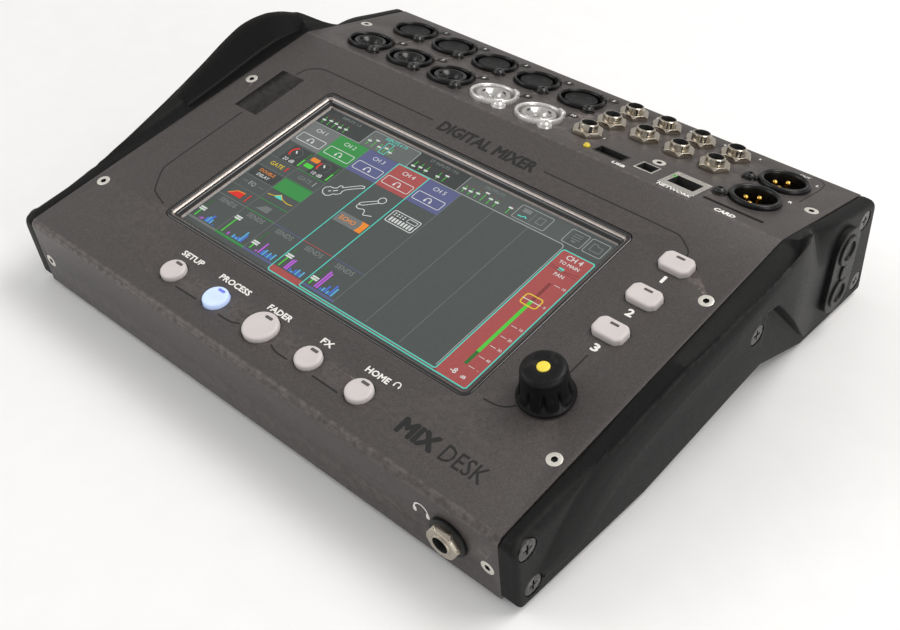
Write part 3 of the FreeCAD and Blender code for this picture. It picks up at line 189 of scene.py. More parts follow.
# key, name, colour, roughness and the rest; colours are 8-bit display values
LOOKS = (
    ("paint", "powder_coat", (66, 62, 61), 0.44, dict(mottle=0.14, scale=900, vary=0.05, grain=1500,
        depth=0.05, strength=0.6, fleck=0.55, wear=(118, 110, 106), shine=0.36)),
    ("tray", "tray_paint", (40, 39, 38), 0.55, dict(scale=500, grain=1300, depth=0.04, fleck=0.2,
        dust=0.12, shine=0.3)),
    ("cheek", "cheek_plastic", (19, 19, 19), 0.50, dict(mottle=0.12, scale=420, vary=0.05, grain=1900,
        depth=0.03, strength=0.45, fleck=0.25, wear=(50, 49, 48), shine=0.12)),
    ("black", "black_plastic", (18, 18, 18), 0.42, dict(scale=300, grain=1500, depth=0.015,
        wear=(42, 41, 40), shine=0.3)),
    ("ring", "socket_ring", (12, 11, 11), 0.30, dict(scale=350, vary=0.07, grain=1400, depth=0.012,
        wear=(44, 41, 39), shine=0.32)),
    ("insert", "socket_insert", (12, 11, 11), 0.26, dict(scale=350, vary=0.06, grain=1200, depth=0.008,
        shine=0.45)),
    ("pins_face", "pin_insert", (13, 12, 12), 0.45, dict(scale=350, vary=0.06, grain=1200, depth=0.01,
        shine=0.16)),
    # shine: a pale metal colour on two rings of the black bezel, painted highlight streaks
    ("shine", "painted_highlight_step", (168, 158, 152), 0.26, dict(metallic=0.55, scale=260, vary=0.06,
        grain=700, depth=0.003)),
    # pale insert and ring colours: a painted highlight on two combination sockets
    ("pale_insert", "pale_insert", (196, 194, 192), 0.26, dict(metallic=0.8, scale=320, grain=1200,
        depth=0.01, vary=0.1)),
    ("pale_ring", "pale_ring", (214, 212, 210), 0.28, dict(metallic=0.6, scale=320, grain=1200,
        depth=0.01, vary=0.1)),
    ("wall", "bezel_wall", (22, 20, 20), 0.16, dict(scale=200, vary=0.05, grain=500, depth=0.004,
        coat=0.5, coat_rough=0.05)),
    # dark: the touch glass's and display module's own black, and painted shade inside holes and recesses
    ("dark", "black_and_painted_shade", (10, 10, 10), 0.7, dict(scale=200, grain=900)),
    ("window", "window_plastic", (18, 17, 16), 0.32, dict(scale=260, grain=1500, depth=0.02,
        wear=(46, 44, 42), shine=0.4)),
    ("silicone", "silicone", (202, 195, 194), 0.50, dict(mottle=0.03, scale=160, grain=1700,
        depth=0.012, sheen=0.15, dust=0.05)),
    ("lit", "lit_silicone", (186, 204, 240), 0.45, dict(mottle=0.05, scale=160, grain=1700,
        depth=0.012, glow=0.35)),
    ("lens", "button_lens", (84, 80, 80), 0.35, dict(scale=300, depth=0.008)),
    ("blue_lens", "lit_lens", (96, 106, 190), 0.30, dict(scale=300, glow=0.6, depth=0.008)),
    ("knob", "knob_rubber", (14, 14, 15), 0.42, dict(scale=380, vary=0.08, grain=1500, depth=0.03,
        dust=0.08, wear=(42, 42, 42), shine=0.2)),
    ("cap", "knob_cap", (226, 205, 70), 0.40, dict(mottle=0.05, scale=260, depth=0.015, glow=0.12)),
    ("lamp", "lamp", (214, 190, 30), 0.18, dict(mottle=0.2, scale=900, coat=0.6, glow=0.10,
        depth=0.01)),
    ("nickel", "nickel", (190, 181, 166), 0.19, dict(metallic=1, mottle=0.06, scale=500, vary=0.07,
        grain=2200, depth=0.010, dust=0.06)),
    ("screw", "screw_steel", (226, 223, 214), 0.34, dict(metallic=0.6, mottle=0.08, scale=900,
        vary=0.08, grain=2500, depth=0.012)),
    ("black_screw", "black_screw", (16, 16, 16), 0.28, dict(shine=0.5, scale=700, depth=0.012,
        wear=(80, 78, 76))),
    ("tin", "tinned_shell", (216, 213, 205), 0.24, dict(metallic=1, mottle=0.08, scale=700, vary=0.08,
        grain=1800, depth=0.015)),
    ("gold", "gold", (232, 186, 92), 0.18, dict(metallic=1, mottle=0.05, scale=800, depth=0.006)),
    ("board", "solder_mask", (20, 84, 52), 0.40, dict(scale=300, mottle=0.25)),
    ("alloy", "mill_alloy", (170, 170, 172), 0.38, dict(metallic=1, scale=500)),
    ("foot", "foot_rubber", (26, 26, 26), 0.75, dict(scale=300, depth=0.05, dust=0.25)),
    ("line", "printed_black", (13, 12, 12), 0.55, dict(scale=700, mottle=0.2, depth=0.008)),
    ("white", "printed_white", (232, 230, 226), 0.55, dict(mottle=0.05, scale=700, depth=0.008,
        dust=0.05)),
    ("screen", "lit_display", (0, 0, 0), 0.35, dict(mottle=0.05, scale=500, grain=1200, depth=0.004,
        painted=True, glow=0.55, shine=0.3)),
    ("green", "green_light", (70, 180, 60), 0.3, dict(scale=700, glow=0.6)),
)
MAT = {key: material(name, srgb(*colour), rough, **more) for key, name, colour, rough, more in LOOKS}


# ---------------- mesh building
LAYER = 0.00012     # step between overlapping faces, so that none lies in another's plane


class Shape:
    """Gathers geometry in the row frame and turns it into one piece."""

    def __init__(self, matrix=None):
        self.bm = bmesh.new()
        self.paint = self.bm.loops.layers.float_color.new("paint")
        self.matrix = matrix or Matrix.Identity(4)
        self.slot = 0
        self.colour = (1, 1, 1, 1)

    def add(self, points, faces):
        made = [self.bm.verts.new(self.matrix @ Vector(p)) for p in points]
        for corners in faces:
            if len(set(corners)) < 3:
                continue
            face = self.bm.faces.new([made[i] for i in corners])
            face.smooth = True
            face.material_index = self.slot
            for loop in face.loops:
                loop[self.paint] = self.colour
        return made

    def lathe(self, profile, steps=48, x=0, y=0, wave=None):
        """Turn a (radius, height) profile about z; wave(angle, radius, height) may change a radius."""
        points, faces = [], []
        for r, z in profile:
            for i in range(steps):
                a = 2 * pi * i / steps
                q = wave(a, r, z) if wave else r
                points.append((x + q * cos(a), y + q * sin(a), z))
        for j in range(len(profile) - 1):
            for i in range(steps):
                k = (i + 1) % steps
                faces.append((j * steps + i, j * steps + k, (j + 1) * steps + k, (j + 1) * steps + i))
        if profile[0][0] > 0:
            faces.append(tuple(reversed(range(steps))))
        if profile[-1][0] > 0:
            faces.append(tuple(range((len(profile) - 1) * steps, len(profile) * steps)))
        self.add(points, faces)

    def prism(self, outline, low, high, top_shrink=0):
        """A straight-sided solid over an outline that runs anticlockwise."""
        n = len(outline)
        cx = sum(p[0] for p in outline) / n
        cy = sum(p[1] for p in outline) / n
        points = [(x, y, low) for x, y in outline]
        points += [(cx + (x - cx) * (1 - top_shrink), cy + (y - cy) * (1 - top_shrink), high)
            for x, y in outline]
        faces = [tuple(reversed(range(n))), tuple(range(n, 2 * n))]
        faces += [(i, (i + 1) % n, n + (i + 1) % n, n + i) for i in range(n)]
        self.add(points, faces)

    def block(self, x, y, wide, deep, low, high, corner=0):
        self.prism(rounded(x, y, wide, deep, corner), low, high)

    def patch(self, outline, z):
        """A thin flat face."""
        self.add([(x, y, z) for x, y in outline], [tuple(range(len(outline)))])

    def ribbon(self, path, width, low, high, closed=False):
        """A flat band of constant width along a path in the plane."""
        points, faces = [], []
        n = len(path)
        for i, (x, y) in enumerate(path):
            before = path[i - 1] if closed or i else path[i]
            after = path[(i + 1) % n] if closed or i < n - 1 else path[i]
            d1 = Vector((x - before[0], y - before[1]))
            d2 = Vector((after[0] - x, after[1] - y))
            d1, d2 = (d1.normalized() if d1.length else d2.normalized(),
                d2.normalized() if d2.length else d1.normalized())
            way = (d1 + d2).normalized() if (d1 + d2).length > 1e-6 else d1
            reach = width / 2 / max(0.35, way.dot(d1))
            side = Vector((-way.y, way.x)) * reach
            for s, z in ((1, low), (1, high), (-1, high), (-1, low)):
                points.append((x + s * side.x, y + s * side.y, z))
        for i in range(n if closed else n - 1):
            j = (i + 1) % n
            for k in range(4):
                m = (k + 1) % 4
                faces.append((i * 4 + m, i * 4 + k, j * 4 + k, j * 4 + m))
        if not closed:
            faces += [(0, 1, 2, 3), tuple((n - 1) * 4 + k for k in (3, 2, 1, 0))]
        self.add(points, faces)

    def text(self, words, x, y, size, z=0.004, bold=0, thick=0.03, fit=None):
        """Lettering centred on a point; fit gives its own width and height."""
        curve = bpy.data.curves.new("lettering", "FONT")
        curve.body = words
        curve.size = size
        curve.align_x = "CENTER"
        curve.align_y = "CENTER"
        curve.resolution_u = 2
        holder = bpy.data.objects.new("lettering", curve)
        mesh = bpy.data.meshes.new_from_object(holder)
        flat = [(v.co.x, v.co.y) for v in mesh.vertices]
        if fit:
            low, high = [[pick(p[k] for p in flat) for k in (0, 1)] for pick in (min, max)]
            grow = [(fit[k] - 2 * bold) / (high[k] - low[k]) for k in (0, 1)]
            flat = [[(p[k] - (low[k] + high[k]) / 2) * grow[k] for k in (0, 1)] for p in flat]
        faces = [tuple(poly.vertices) for poly in mesh.polygons]
        spread = [(0, 0)]
        if bold:
            spread += [(bold * cos(k * pi / 4), bold * sin(k * pi / 4))
                for k in range(8)]
        for k, (dx, dy) in enumerate(spread):
            self.add([(x + px + dx, y + py + dy, z + thick + LAYER * k) for px, py in flat], faces)
        bpy.data.objects.remove(holder)
        bpy.data.meshes.remove(mesh)
        bpy.data.curves.remove(curve)

    def done(self, name, body, mats, slot, *stands_for, **edges):
        mesh = bpy.data.meshes.new(name)
        bmesh.ops.remove_doubles(self.bm, verts=self.bm.verts, dist=1e-7)
        self.bm.to_mesh(mesh)
        self.bm.free()
        return piece(name, mesh, body, mats, slot, *stands_for, **edges)


def piece(name, mesh, body, mats, slot, *stands_for, bevel=0, segments=2, sharp=32):
    """A finished mesh as a visible piece that rides a body and may stand for CAD nodes."""
    mesh.set_sharp_from_angle(angle=radians(sharp))
    obj = put(name, mesh)
    for key in ([mats] if isinstance(mats, str) else mats):
        mesh.materials.append(MAT[key])
    if bevel:
        soften(obj, bevel, segments)
    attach(obj, body)
    if stands_for:
        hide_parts(*stands_for)
    return obj


def soften(obj, width, segments=2, angle=35):
    edge = obj.modifiers.new("edges", "BEVEL")
    edge.width = width * MM
    edge.segments = segments
    edge.limit_method = "ANGLE"
    edge.angle_limit = radians(angle)


def rounded(x, y, wide, deep, corner=0, steps=5):
    """An anticlockwise rectangle with rounded corners."""
    hw, hd = wide / 2, deep / 2
    if corner <= 0:
        return [(x - hw, y - hd), (x + hw, y - hd), (x + hw, y + hd), (x - hw, y + hd)]
    out = []
    for cx, cy, start in ((hw, hd, 0), (-hw, hd, 90), (-hw, -hd, 180), (hw, -hd, 270)):
        mx = x + copysign(abs(cx) - corner, cx)
        my = y + copysign(abs(cy) - corner, cy)
        for i in range(steps + 1):
            a = radians(start + 90 * i / steps)
            out.append((mx + corner * cos(a), my + corner * sin(a)))
    return out


def circle(x, y, r, steps=24, start=0, end=360):
    full = abs(end - start) >= 360
    count = steps if full else steps + 1
    return [(x + r * cos(radians(start + (end - start) * i / steps)),
        y + r * sin(radians(start + (end - start) * i / steps)))
        for i in range(count)]


def smooth_path(points, rounds=2):
    """Cut the corners of an open path a few times."""
    for _ in range(rounds):
        out = [points[0]]
        for a, b in zip(points, points[1:]):
            out.append((a[0] * 0.75 + b[0] * 0.25, a[1] * 0.75 + b[1] * 0.25))
            out.append((a[0] * 0.25 + b[0] * 0.75, a[1] * 0.25 + b[1] * 0.75))
        out.append(points[-1])
        points = out
    return points


# ---------------- carried-over CAD nodes
def dress(node, mat, edge=0, segments=2, sharp=30):
    obj = NODES[node]
    obj.data.materials.clear()
    obj.data.materials.append(MAT[mat])
    obj.data.polygons.foreach_set("use_smooth", [True] * len(obj.data.polygons))
    obj.data.set_sharp_from_angle(angle=radians(sharp))
    if edge:
        weld = obj.modifiers.new("weld", "WELD")
        weld.merge_threshold = 0.000002
        soften(obj, edge, segments)


def paint_shading_inside(node, face, places, reach, depth, mat="dark", outside=False):
    """Give a carried-over node's faces inside a mouth, below a depth, another material: by default the
    dark one, as painted shade.
    """
    obj = NODES[node]
    obj.data.materials.append(MAT[mat])
    for x, y in places:
        back = on(face, x, y).inverted() @ obj.matrix_world
        for poly in obj.data.polygons:
            centre = back @ poly.center
            facing = (back.to_3x3() @ poly.normal)
            inward = facing.x * centre.x + facing.y * centre.y < 0 or facing.z > 0 or outside
            if (abs(centre.x) < reach[0] and abs(centre.y) < reach[1] and centre.z < -depth
                    and inward):
                poly.material_index = len(obj.data.materials) - 1


for mat, edge, names in (
        ("paint", 0.12, "top_chassis"), ("tray", 0, "base_tray"), ("screw", 0.08, "face_screws"),
        ("black_screw", 0.12, "cheek_screws socket_screws"), ("window", 0.15, "antenna_window"),
        ("dark", 0, "touch_glass display_module"), ("gold", 0, "output_pins"),
        ("alloy", 0, "display_bracket encoder_shaft board_posts"), ("lamp", 0.1, "status_lamp"),
        ("board", 0, "control_boards deck_board main_board"), ("foot", 0.2, "rubber_feet"),
        ("black", 0, "encoder_body card_reader"), ("black", 0.05, "usb_a_port"),
        ("black", 0.12, "phones_washer power_inlet"), ("black", 0.15, "switch_frame"),
        ("black", 0.2, "rocker_switch"), ("tin", 0.1, "usb_b_port network_port"),
        ("nickel", 0.1, "encoder_nut phones_jack line_jacks_a line_jacks_b line_jacks_c line_jacks_d"),
        ("nickel", 0.12, "phones_nut line_jack_nuts")):
    for name in names.split():
        dress(name, mat, edge)
SIDES = (-SCREW_ACROSS, SCREW_ACROSS)
# painted shade: the screws' drive recesses, the port mouths and the jack mouths get the dark material
for face, places in (("front", [(x, FRONT_SCREW) for x in SIDES]),
        ("panel", [(x, s) for x in SIDES for s in PANEL_SCREWS]),
        ("deck", [(x, DECK_SCREW) for x in SIDES] + [DECK_CENTRE_SCREW])):
    paint_shading_inside("face_screws", face, places, (1.5, 1.5), 0.1)
# the screws of those two sockets get the pale ring colour too: painted highlight
paint_shading_inside("socket_screws", "deck",
    [(SOCKET_X + SOCKET_PITCH * i + SCREW_NEAR[0], COMBO_Q + SCREW_NEAR[1]) for i in PAINTED_HIGHLIGHT_SOCKETS],
    (3, 3), -4, "pale_ring", True)
paint_shading_inside("network_port", "deck", [NETWORK], (7.9, 7.2), 0.3)
paint_shading_inside("usb_b_port", "deck", [USB_B], (4.2, 3.7), 0.3)
for node, x, rows in JACKS:
    paint_shading_inside(node, "deck", [(x, q) for q in rows], (3.5, 3.5), -4.4)
paint_shading_inside("phones_jack", "front", [PHONES], (3.5, 3.5), -4.2)

# ---------------- cheeks
def curve_through(keys, values, at):
    """A smooth curve through points that adds no humps between them."""
    x, v = np.asarray(keys, float), np.asarray(values, float)
    step = np.diff(x)
    slope = np.diff(v) / step
    tangent = np.zeros(len(x))
    same = slope[:-1] * slope[1:] > 0
    tangent[1:-1][same] = 2 * slope[:-1][same] * slope[1:][same] / (slope[:-1] + slope[1:])[same]
    tangent[0], tangent[-1] = slope[0], slope[-1]
    i = np.clip(np.searchsorted(x, at) - 1, 0, len(x) - 2)
    t = np.clip((np.asarray(at) - x[i]) / step[i], 0, 1)
    return ((2 * t ** 3 - 3 * t ** 2 + 1) * v[i] + (t ** 3 - 2 * t ** 2 + t) * step[i] * tangent[i]
        + (3 * t ** 2 - 2 * t ** 3) * v[i + 1] + (t ** 3 - t ** 2) * step[i] * tangent[i + 1])


def cheek_top(y):
    """Height of the metal's top above its own floor, at a distance back from the toe."""
    crest = PANEL_LONG * cos(PANEL_TURN) - OVERHANG
    if y < crest:
        return LIP + (y + OVERHANG) * tan(PANEL_TURN)
    return RIDGE[1] - FOOT + (y - crest) * tan(DECK_TURN)


# distance back: slab edge x; valley x, z; ridge x, z; belly x, z; crease x, z; foot z
WING = [
    (0, 133, 133, 20, 133, 15, 133, 11, 133, 8, 7),
    (7, 133, 133, 13, 133, 10, 133, 8, 133, 6.2, 5.4),
    (12, 133, 133, 15.5, 133.5, 12.2, 133.8, 9.4, 133.7, 6.4, 5.6),
    (20, 133, 133, 25.5, 134, 20.8, 134.8, 13.5, 134.9, 7.6, 6.2),
    (30, 133, 133, 34.4, 134.3, 30.4, 135.4, 20, 135.9, 11, 9.2),
    (38, 132.6, 132.8, 38.6, 134.4, 36.4, 135.6, 26, 136, 17.5, 15.5),
    (45, 131, 132, 39.9, 134.4, 40.4, 135.6, 31.5, 136, 23.6, 21.4),
    (54, 128.8, 131.6, 41.6, 134.8, 43.6, 135.9, 36, 136.3, 29.4, 27),
    (75, 127.6, 132.4, 46, 135.9, 51, 137.3, 44.6, 137.8, 38.2, 35),
    (100, 127.4, 133.8, 52.2, 138.2, 60, 139.6, 53.2, 139.8, 46.6, 42.6),
    (118, 127.3, 135.2, 56.8, 140.6, 66, 141.5, 60, 141.3, 53.6, 48.6),
    (126, 127.2, 136, 59, 141.3, 68.6, 141.85, 61.5, 141.9, 53.4, 49),
    (131, 127.2, 136.3, 60.2, 141.5, 69.8, 141.9, 60.5, 141.9, 48.6, 48),
    (139, 127, 136.4, 61.8, 141, 70.5, 141.7, 57.5, 141.8, 40.3, 40.3),
    (147, 126.9, 135, 62, 139.3, 69.6, 140.9, 54.5, 140.7, 32, 32),
    (155, 126.8, 132.4, 60.6, 136.4, 66.9, 139.3, 50.5, 138.9, 23.7, 23.7),
    (161, 126.7, 130.2, 58.6, 133.9, 62.6, 137.9, 47, 137.5, 17.5, 17.5),
    (166.7, 126.6, 128.2, 56.6, 131.4, 58.2, 136.6, 43, 136.2, 11.6, 11.6),
    (172, 126.6, 127.2, 54.9, 129, 54.9, 135.4, 39.5, 135, 6.6, 6.4),
    (178, 128.8, 130.4, 53.2, 131.6, 51.4, 134.2, 37.5, 133.8, 3.4, 3.2),
    (184, 131.6, 132.8, 50.4, 133.1, 46.5, 133.4, 36, 133.2, 3.2, 3),
    (190, 133, 133, 48, 133, 44, 133, 34, 133, 3.2, 3),
    (225.6, 133, 133, 38, 133, 30, 133, 20, 133, 3.4, 3.2),
]
WING_KEYS = [row[0] for row in WING]
NOTCH = ((68, 0), (141, 11), (175, 0))
END_STEPS = (0, 0.12, 0.4, 0.8, 1.3, 1.9, 2.6, 3.4, 4.6)
REACHES = (0.2, 1.8, 5, 1.5, 6, 1.3, 0.8, 2, 1.4, 0.2)


def corner_arcs(points, reaches, count=5):
    """Replace each corner of a closed section by a short arc."""
    out = []
    for i, (corner, reach) in enumerate(zip(points, reaches)):
        here = Vector(corner)
        back, ahead = Vector(points[i - 1]) - here, Vector(points[(i + 1) % len(points)]) - here
        a = here + back * (min(reach, 0.48 * back.length) / max(back.length, 1e-6))
        b = here + ahead * (min(reach, 0.48 * ahead.length) / max(ahead.length, 1e-6))
        for k in range(count):
            t = k / (count - 1)
            out.append(a * (1 - t) ** 2 + here * 2 * t * (1 - t) + b * t ** 2)
    return out


def inset(distance, radius):
    """How far a rounded edge falls back at a distance from the end of the slab."""
    gap = max(0, radius - distance)
    return radius - sqrt(max(0, radius ** 2 - gap ** 2))


def cheek_section(y):
    front, back = y, DEPTH - y
    lean = (-OVERHANG / LIP * max(0, 1 - front / 24)
        - (TAIL[0] - REAR[0]) / (REAR[1] - FOOT) * max(0, 1 - back / 24))
    values = [float(curve_through(WING_KEYS, [row[i] for row in WING], y)) for i in range(1, 11)]
    edge_x, valley_x, valley_z, ridge_x, ridge_z, belly_x, belly_z, crease_x, crease_z, foot_z = values
    top = cheek_top(y)
    for _ in range(3):
        top = cheek_top(y + lean * top)
    fall = inset(min(front, back), 3.2)
    top -= fall + 0.05
    low = float(np.interp(y, [p[0] for p in NOTCH], [p[1] for p in NOTCH])) + fall
    thin = inset(min(front, back), 2.2)
    inner = HALF + 0.05
    points = [(inner, low), (inner, top), (edge_x - thin, top),
        (valley_x - thin, min(valley_z, top - 1.9) if valley_x > 132.9 else valley_z),
        (ridge_x - thin, ridge_z), (belly_x - thin, belly_z), (crease_x - thin, crease_z),
        (SLAB_X - thin, foot_z), (SLAB_X - thin, max(low + 2, foot_z * 0.5)),
        (SLAB_X - thin, low)]
    return [(p.x, y + lean * p.y, p.y) for p in corner_arcs(points, REACHES)]


def make_cheek(name, side):
    stations = sorted({round(v, 3) for v in [*END_STEPS, *np.arange(6, 221, 2.2),
        *(place for place, _ in NOTCH), *(DEPTH - v for v in END_STEPS)]})
    rings = [cheek_section(y) for y in stations]
    n = len(rings[0])
    bm = bmesh.new()
    rows = [[bm.verts.new((side * x * MM, (y - SETBACK) * MM, (z + FOOT) * MM)) for x, y, z in ring]
        for ring in rings]
    for a, b in zip(rows, rows[1:]):
        for i in range(n):
            k = (i + 1) % n
            bm.faces.new((a[i], a[k], b[k], b[i]) if side > 0 else (a[k], a[i], b[i], b[k]))
    bm.faces.new(rows[0] if side < 0 else list(reversed(rows[0])))
    bm.faces.new(rows[-1] if side > 0 else list(reversed(rows[-1])))
    bmesh.ops.remove_doubles(bm, verts=bm.verts, dist=2e-6)
    bmesh.ops.recalc_face_normals(bm, faces=bm.faces)
    for face in bm.faces:
        face.smooth = True
    mesh = bpy.data.meshes.new(name)
    bm.to_mesh(mesh)
    bm.free()
    holder = put(name + "_blank", mesh)
    wells = Shape(Matrix.Translation((side * SLAB_X * MM, 0, 0)) @ Matrix.Rotation(
        side * pi / 2, 4, "Y") @ Matrix.Scale(MM, 4))
    for y, z in CHEEK_SCREWS:
        wells.lathe([(4.4, -2.15), (4.4, 0), (4.75, 0.35), (4.75, 1.2)], 32,
            x=-side * (z + FOOT), y=y - SETBACK)
    cutter_mesh = bpy.data.meshes.new(name + "_wells")
    wells.bm.to_mesh(cutter_mesh)
    wells.bm.free()
    cutter = put(name + "_wells", cutter_mesh)
    cutting = holder.modifiers.new("wells", "BOOLEAN")
    cutting.operation = "DIFFERENCE"
    cutting.solver = "EXACT"
    cutting.object = cutter
    bpy.context.view_layer.update()
    ready = bpy.data.meshes.new_from_object(
        holder.evaluated_get(bpy.context.evaluated_depsgraph_get()))
    ready.name = name
    ready.materials.clear()
    bpy.data.objects.remove(holder)
    bpy.data.objects.remove(cutter)
    return piece(name, ready, "desk", "cheek", "cheek_plastic", name.replace("_shell", ""), sharp=38)


CHEEK_SCREWS = [(3.2, 27), (7.2, 6.4), (210.9, 40.6), (217.6, 7), (133.6, 30)]
for side, name in ((1, "right_cheek_shell"), (-1, "left_cheek_shell")):
    make_cheek(name, side)
    plate = Shape(Matrix.Translation((side * SLAB_X * MM, (194 - SETBACK) * MM, (26.5 + FOOT) * MM))
        @ Matrix.Rotation(side * pi / 2, 4, "Y") @ Matrix.Rotation(pi / 2, 4, "Z")
        @ Matrix.Scale(MM, 4))
    plate.prism(rounded(0, 0, 18.6, 39.2, 9.2, 12), -0.2, 2.6)
    for y in (-10.2, 10.2):
        plate.lathe([(6.6, 2.4), (6.6, 3.3), (6.3, 3.5), (4.4, 3.5), (4.1, 3.3), (4.1, 2.4)], 40, y=y)
    plate.prism(rounded(0, 0, 5, 7, 2.4), 2.4, 3.4)
    plate.done("right_badge" if side > 0 else "left_badge", "desk", "black", "cheek_plastic",
        bevel=0.35, segments=3)

# ---------------- screen surround
surround = Shape(on("panel", SCREEN_X, SCREEN_S))
# the rings listed here get the pale shine colour: painted highlight streaks on the bezel's far wall
PAINTED_HIGHLIGHT_RINGS = (6, 11)
RIM = [(-0.05, -2.6, 3.2), (-0.05, -0.45, 3.2), (0.15, -0.15, 3.1), (0.45, -0.05, 3),
    (1.35, -0.05, 2.4), (1.6, -0.22, 2.2), (1.75, -0.55, 2.1), (2.45, -1.35, 1.7),
    (2.75, -1.5, 1.5), (3.2, -1.62, 1.3), (3.45, -1.9, 1.2), (4.25, -3.2, 0.9),
    (4.55, -3.9, 0.7), (4.85, -4.12, 0.6), (4.85, -4.19, 0.6)]
loops = []
for inward, z, corner in RIM:
    loops.append([(x, y, z) for x, y in rounded(0, 0, SCREEN_WIDE - 2 * inward,
        SCREEN_TALL - 2 * inward, corner, 6)])
count = len(loops[0])
for j in range(len(loops) - 1):
    surround.slot = 1 if j in PAINTED_HIGHLIGHT_RINGS else 0
    surround.add(loops[j] + loops[j + 1],
        [(i, (i + 1) % count, count + (i + 1) % count, count + i) for i in range(count)])
surround.done("screen_surround", "desk", ["wall", "shine"], "screen_bezel", "screen_bezel", sharp=50)

# ---------------- what the display shows
LEFT, TOP = -77.1, 42.96
VIEW_WIDE, VIEW_TALL = 154.2, 85.92
display = Shape(on("panel", SCREEN_X, SCREEN_S, -RECESS))
INK = {"back": (84, 90, 88), "strip": (92, 98, 96), "tab": (107, 113, 111), "white": (228, 231, 229),
    "edge": (168, 174, 172), "grey": (120, 124, 122), "green": (62, 152, 78),
    "indigo": (98, 103, 146), "red": (178, 87, 85), "cyan": (92, 224, 206),
    "lime": (86, 216, 70), "yellow": (240, 206, 60), "orange": (248, 148, 52),
    "scarlet": (232, 54, 44), "violet": (196, 104, 226), "blue": (82, 122, 224),
    "sky": (98, 182, 226), "shade": (66, 71, 70), "faint": (128, 133, 131),
    "maroon": (140, 66, 66), "leaf": (58, 120, 56)}
layer = [0.03]


def ink(name):
    display.colour = srgb(*INK[name]) + (1,)
    layer[0] += 0.0006


def spot(x, y):
    """Millimetres right and down from the display's top left corner."""
    return LEFT + x, TOP - y


def fill(x, y, wide, tall, name, corner=0):
    ink(name)
    cx, cy = spot(x + wide / 2, y + tall / 2)
    display.patch(rounded(cx, cy, wide, tall, corner, 4), layer[0])


def stroke(path, name, width=0.35, closed=False):
    ink(name)
    display.ribbon([spot(x, y) for x, y in path], width, layer[0], layer[0] + 0.002, closed)


def frame_line(x, y, wide, tall, name, width=0.35, corner=0.8):
    ink(name)
    cx, cy = spot(x + wide / 2, y + tall / 2)
    display.ribbon(rounded(cx, cy, wide, tall, corner, 4), width, layer[0], layer[0] + 0.002, True)


def write(words, x, y, size, name, bold=0):
    ink(name)
    cx, cy = spot(x, y)
    display.text(words, cx, cy, size, layer[0], bold=bold, thick=0.001)


def headphones(x, y, r, name):
    stroke([(px, 2 * y - py) for px, py in circle(x, y, r, 14, 0, 180)], name, 0.4)
    for side in (-1, 1):
        fill(x + side * r - 0.45, y - 0.1, 0.9, 1.3, name, 0.3)


def mini_fader(x, low, knob, boxed=False):
    fill(x - 0.14, low - 5.7, 0.28, 1.6, "maroon")
    fill(x - 0.16, low - 4.2, 0.32, 4.2, "lime")
    fill(x - 1, knob - 0.4, 2, 0.8, "white")
    if boxed:
        frame_line(x - 1.7, 3.6, 3.4, 6.8, "cyan", 0.35, 0.1)


fill(0, 0, VIEW_WIDE, VIEW_TALL, "back")
fill(0, 0, 27.4, 10.8, "shade")
fill(27.6, 0.9, 27, 10, "tab")
fill(54.8, 0, 27.4, 10.8, "shade")
fill(82.4, 0, 54, 10.8, "strip")
for words, x, name in (("INPUTS 1-5", 14.4, "faint"), ("INPUTS 6-10", 41.5, "cyan"),
        ("ST INPUTS / FX", 68.7, "faint"), ("OUTPUTS", 96, "faint")):
    write(words, x, 2.1, 2.3, name, 0.02)
for x, knob in ((2.7, 7.6), (6.1, 6.6), (9.4, 6.8), (12.6, 7.7), (15.9, 7.3), (30.1, 6.8),
        (33.2, 5), (36.6, 7.8), (43.1, 8), (57.2, 8.7), (60.5, 7.8), (63.8, 8.2),
        (70.4, 8.2), (73.7, 5.8), (84.6, 7.5), (87.8, 7.5), (91.1, 6.8), (94.3, 4.5),
        (97.6, 6.5), (100.9, 6.8), (107.5, 6)):
    mini_fader(x, 9.7, knob)
mini_fader(40, 9.7, 6.8, True)
stroke([(0, 10.8), (27.4, 10.8), (27.6, 1.2), (28.2, 0.8), (54, 0.8), (54.6, 1.2),
    (54.9, 10.8), (136.4, 10.8), (137.6, 11.3), (138, 12.2), (138, 83)], "edge", 0.4)
stroke([(82.3, 0.6), (82.3, 10.8)], "edge", 0.3)
for x, wide in ((110.4, 15.7), (134.9, 8.5), (144.6, 8.3)):
    frame_line(x, 1.8, wide, 7.7, "edge", 0.32, 0.7)
stroke([(118.2, 2.8), (118.2, 8.5)], "faint", 0.25)
fill(112.3, 2.9, 4, 2.2, "faint", 0.3)
stroke([(112.2, 7.6), (114.2, 7.6), (115.3, 6.9), (116.4, 7.6)], "cyan", 0.5)
stroke([(120.6, 4), (123.6, 4), (123.6, 7.4), (120.6, 7.4)], "faint", 0.4, True)
for y in (3.6, 4.9, 6.2):
    stroke([(137, y), (141.3, y)], "faint", 0.4)
stroke([(138.2, 7.4), (140.1, 7.4)], "faint", 0.6)
stroke([(146.6, 3.8), (148.2, 3.8), (148.9, 4.6), (151.2, 4.6), (151.2, 7.6), (146.6, 7.6)],
    "faint", 0.35, True)

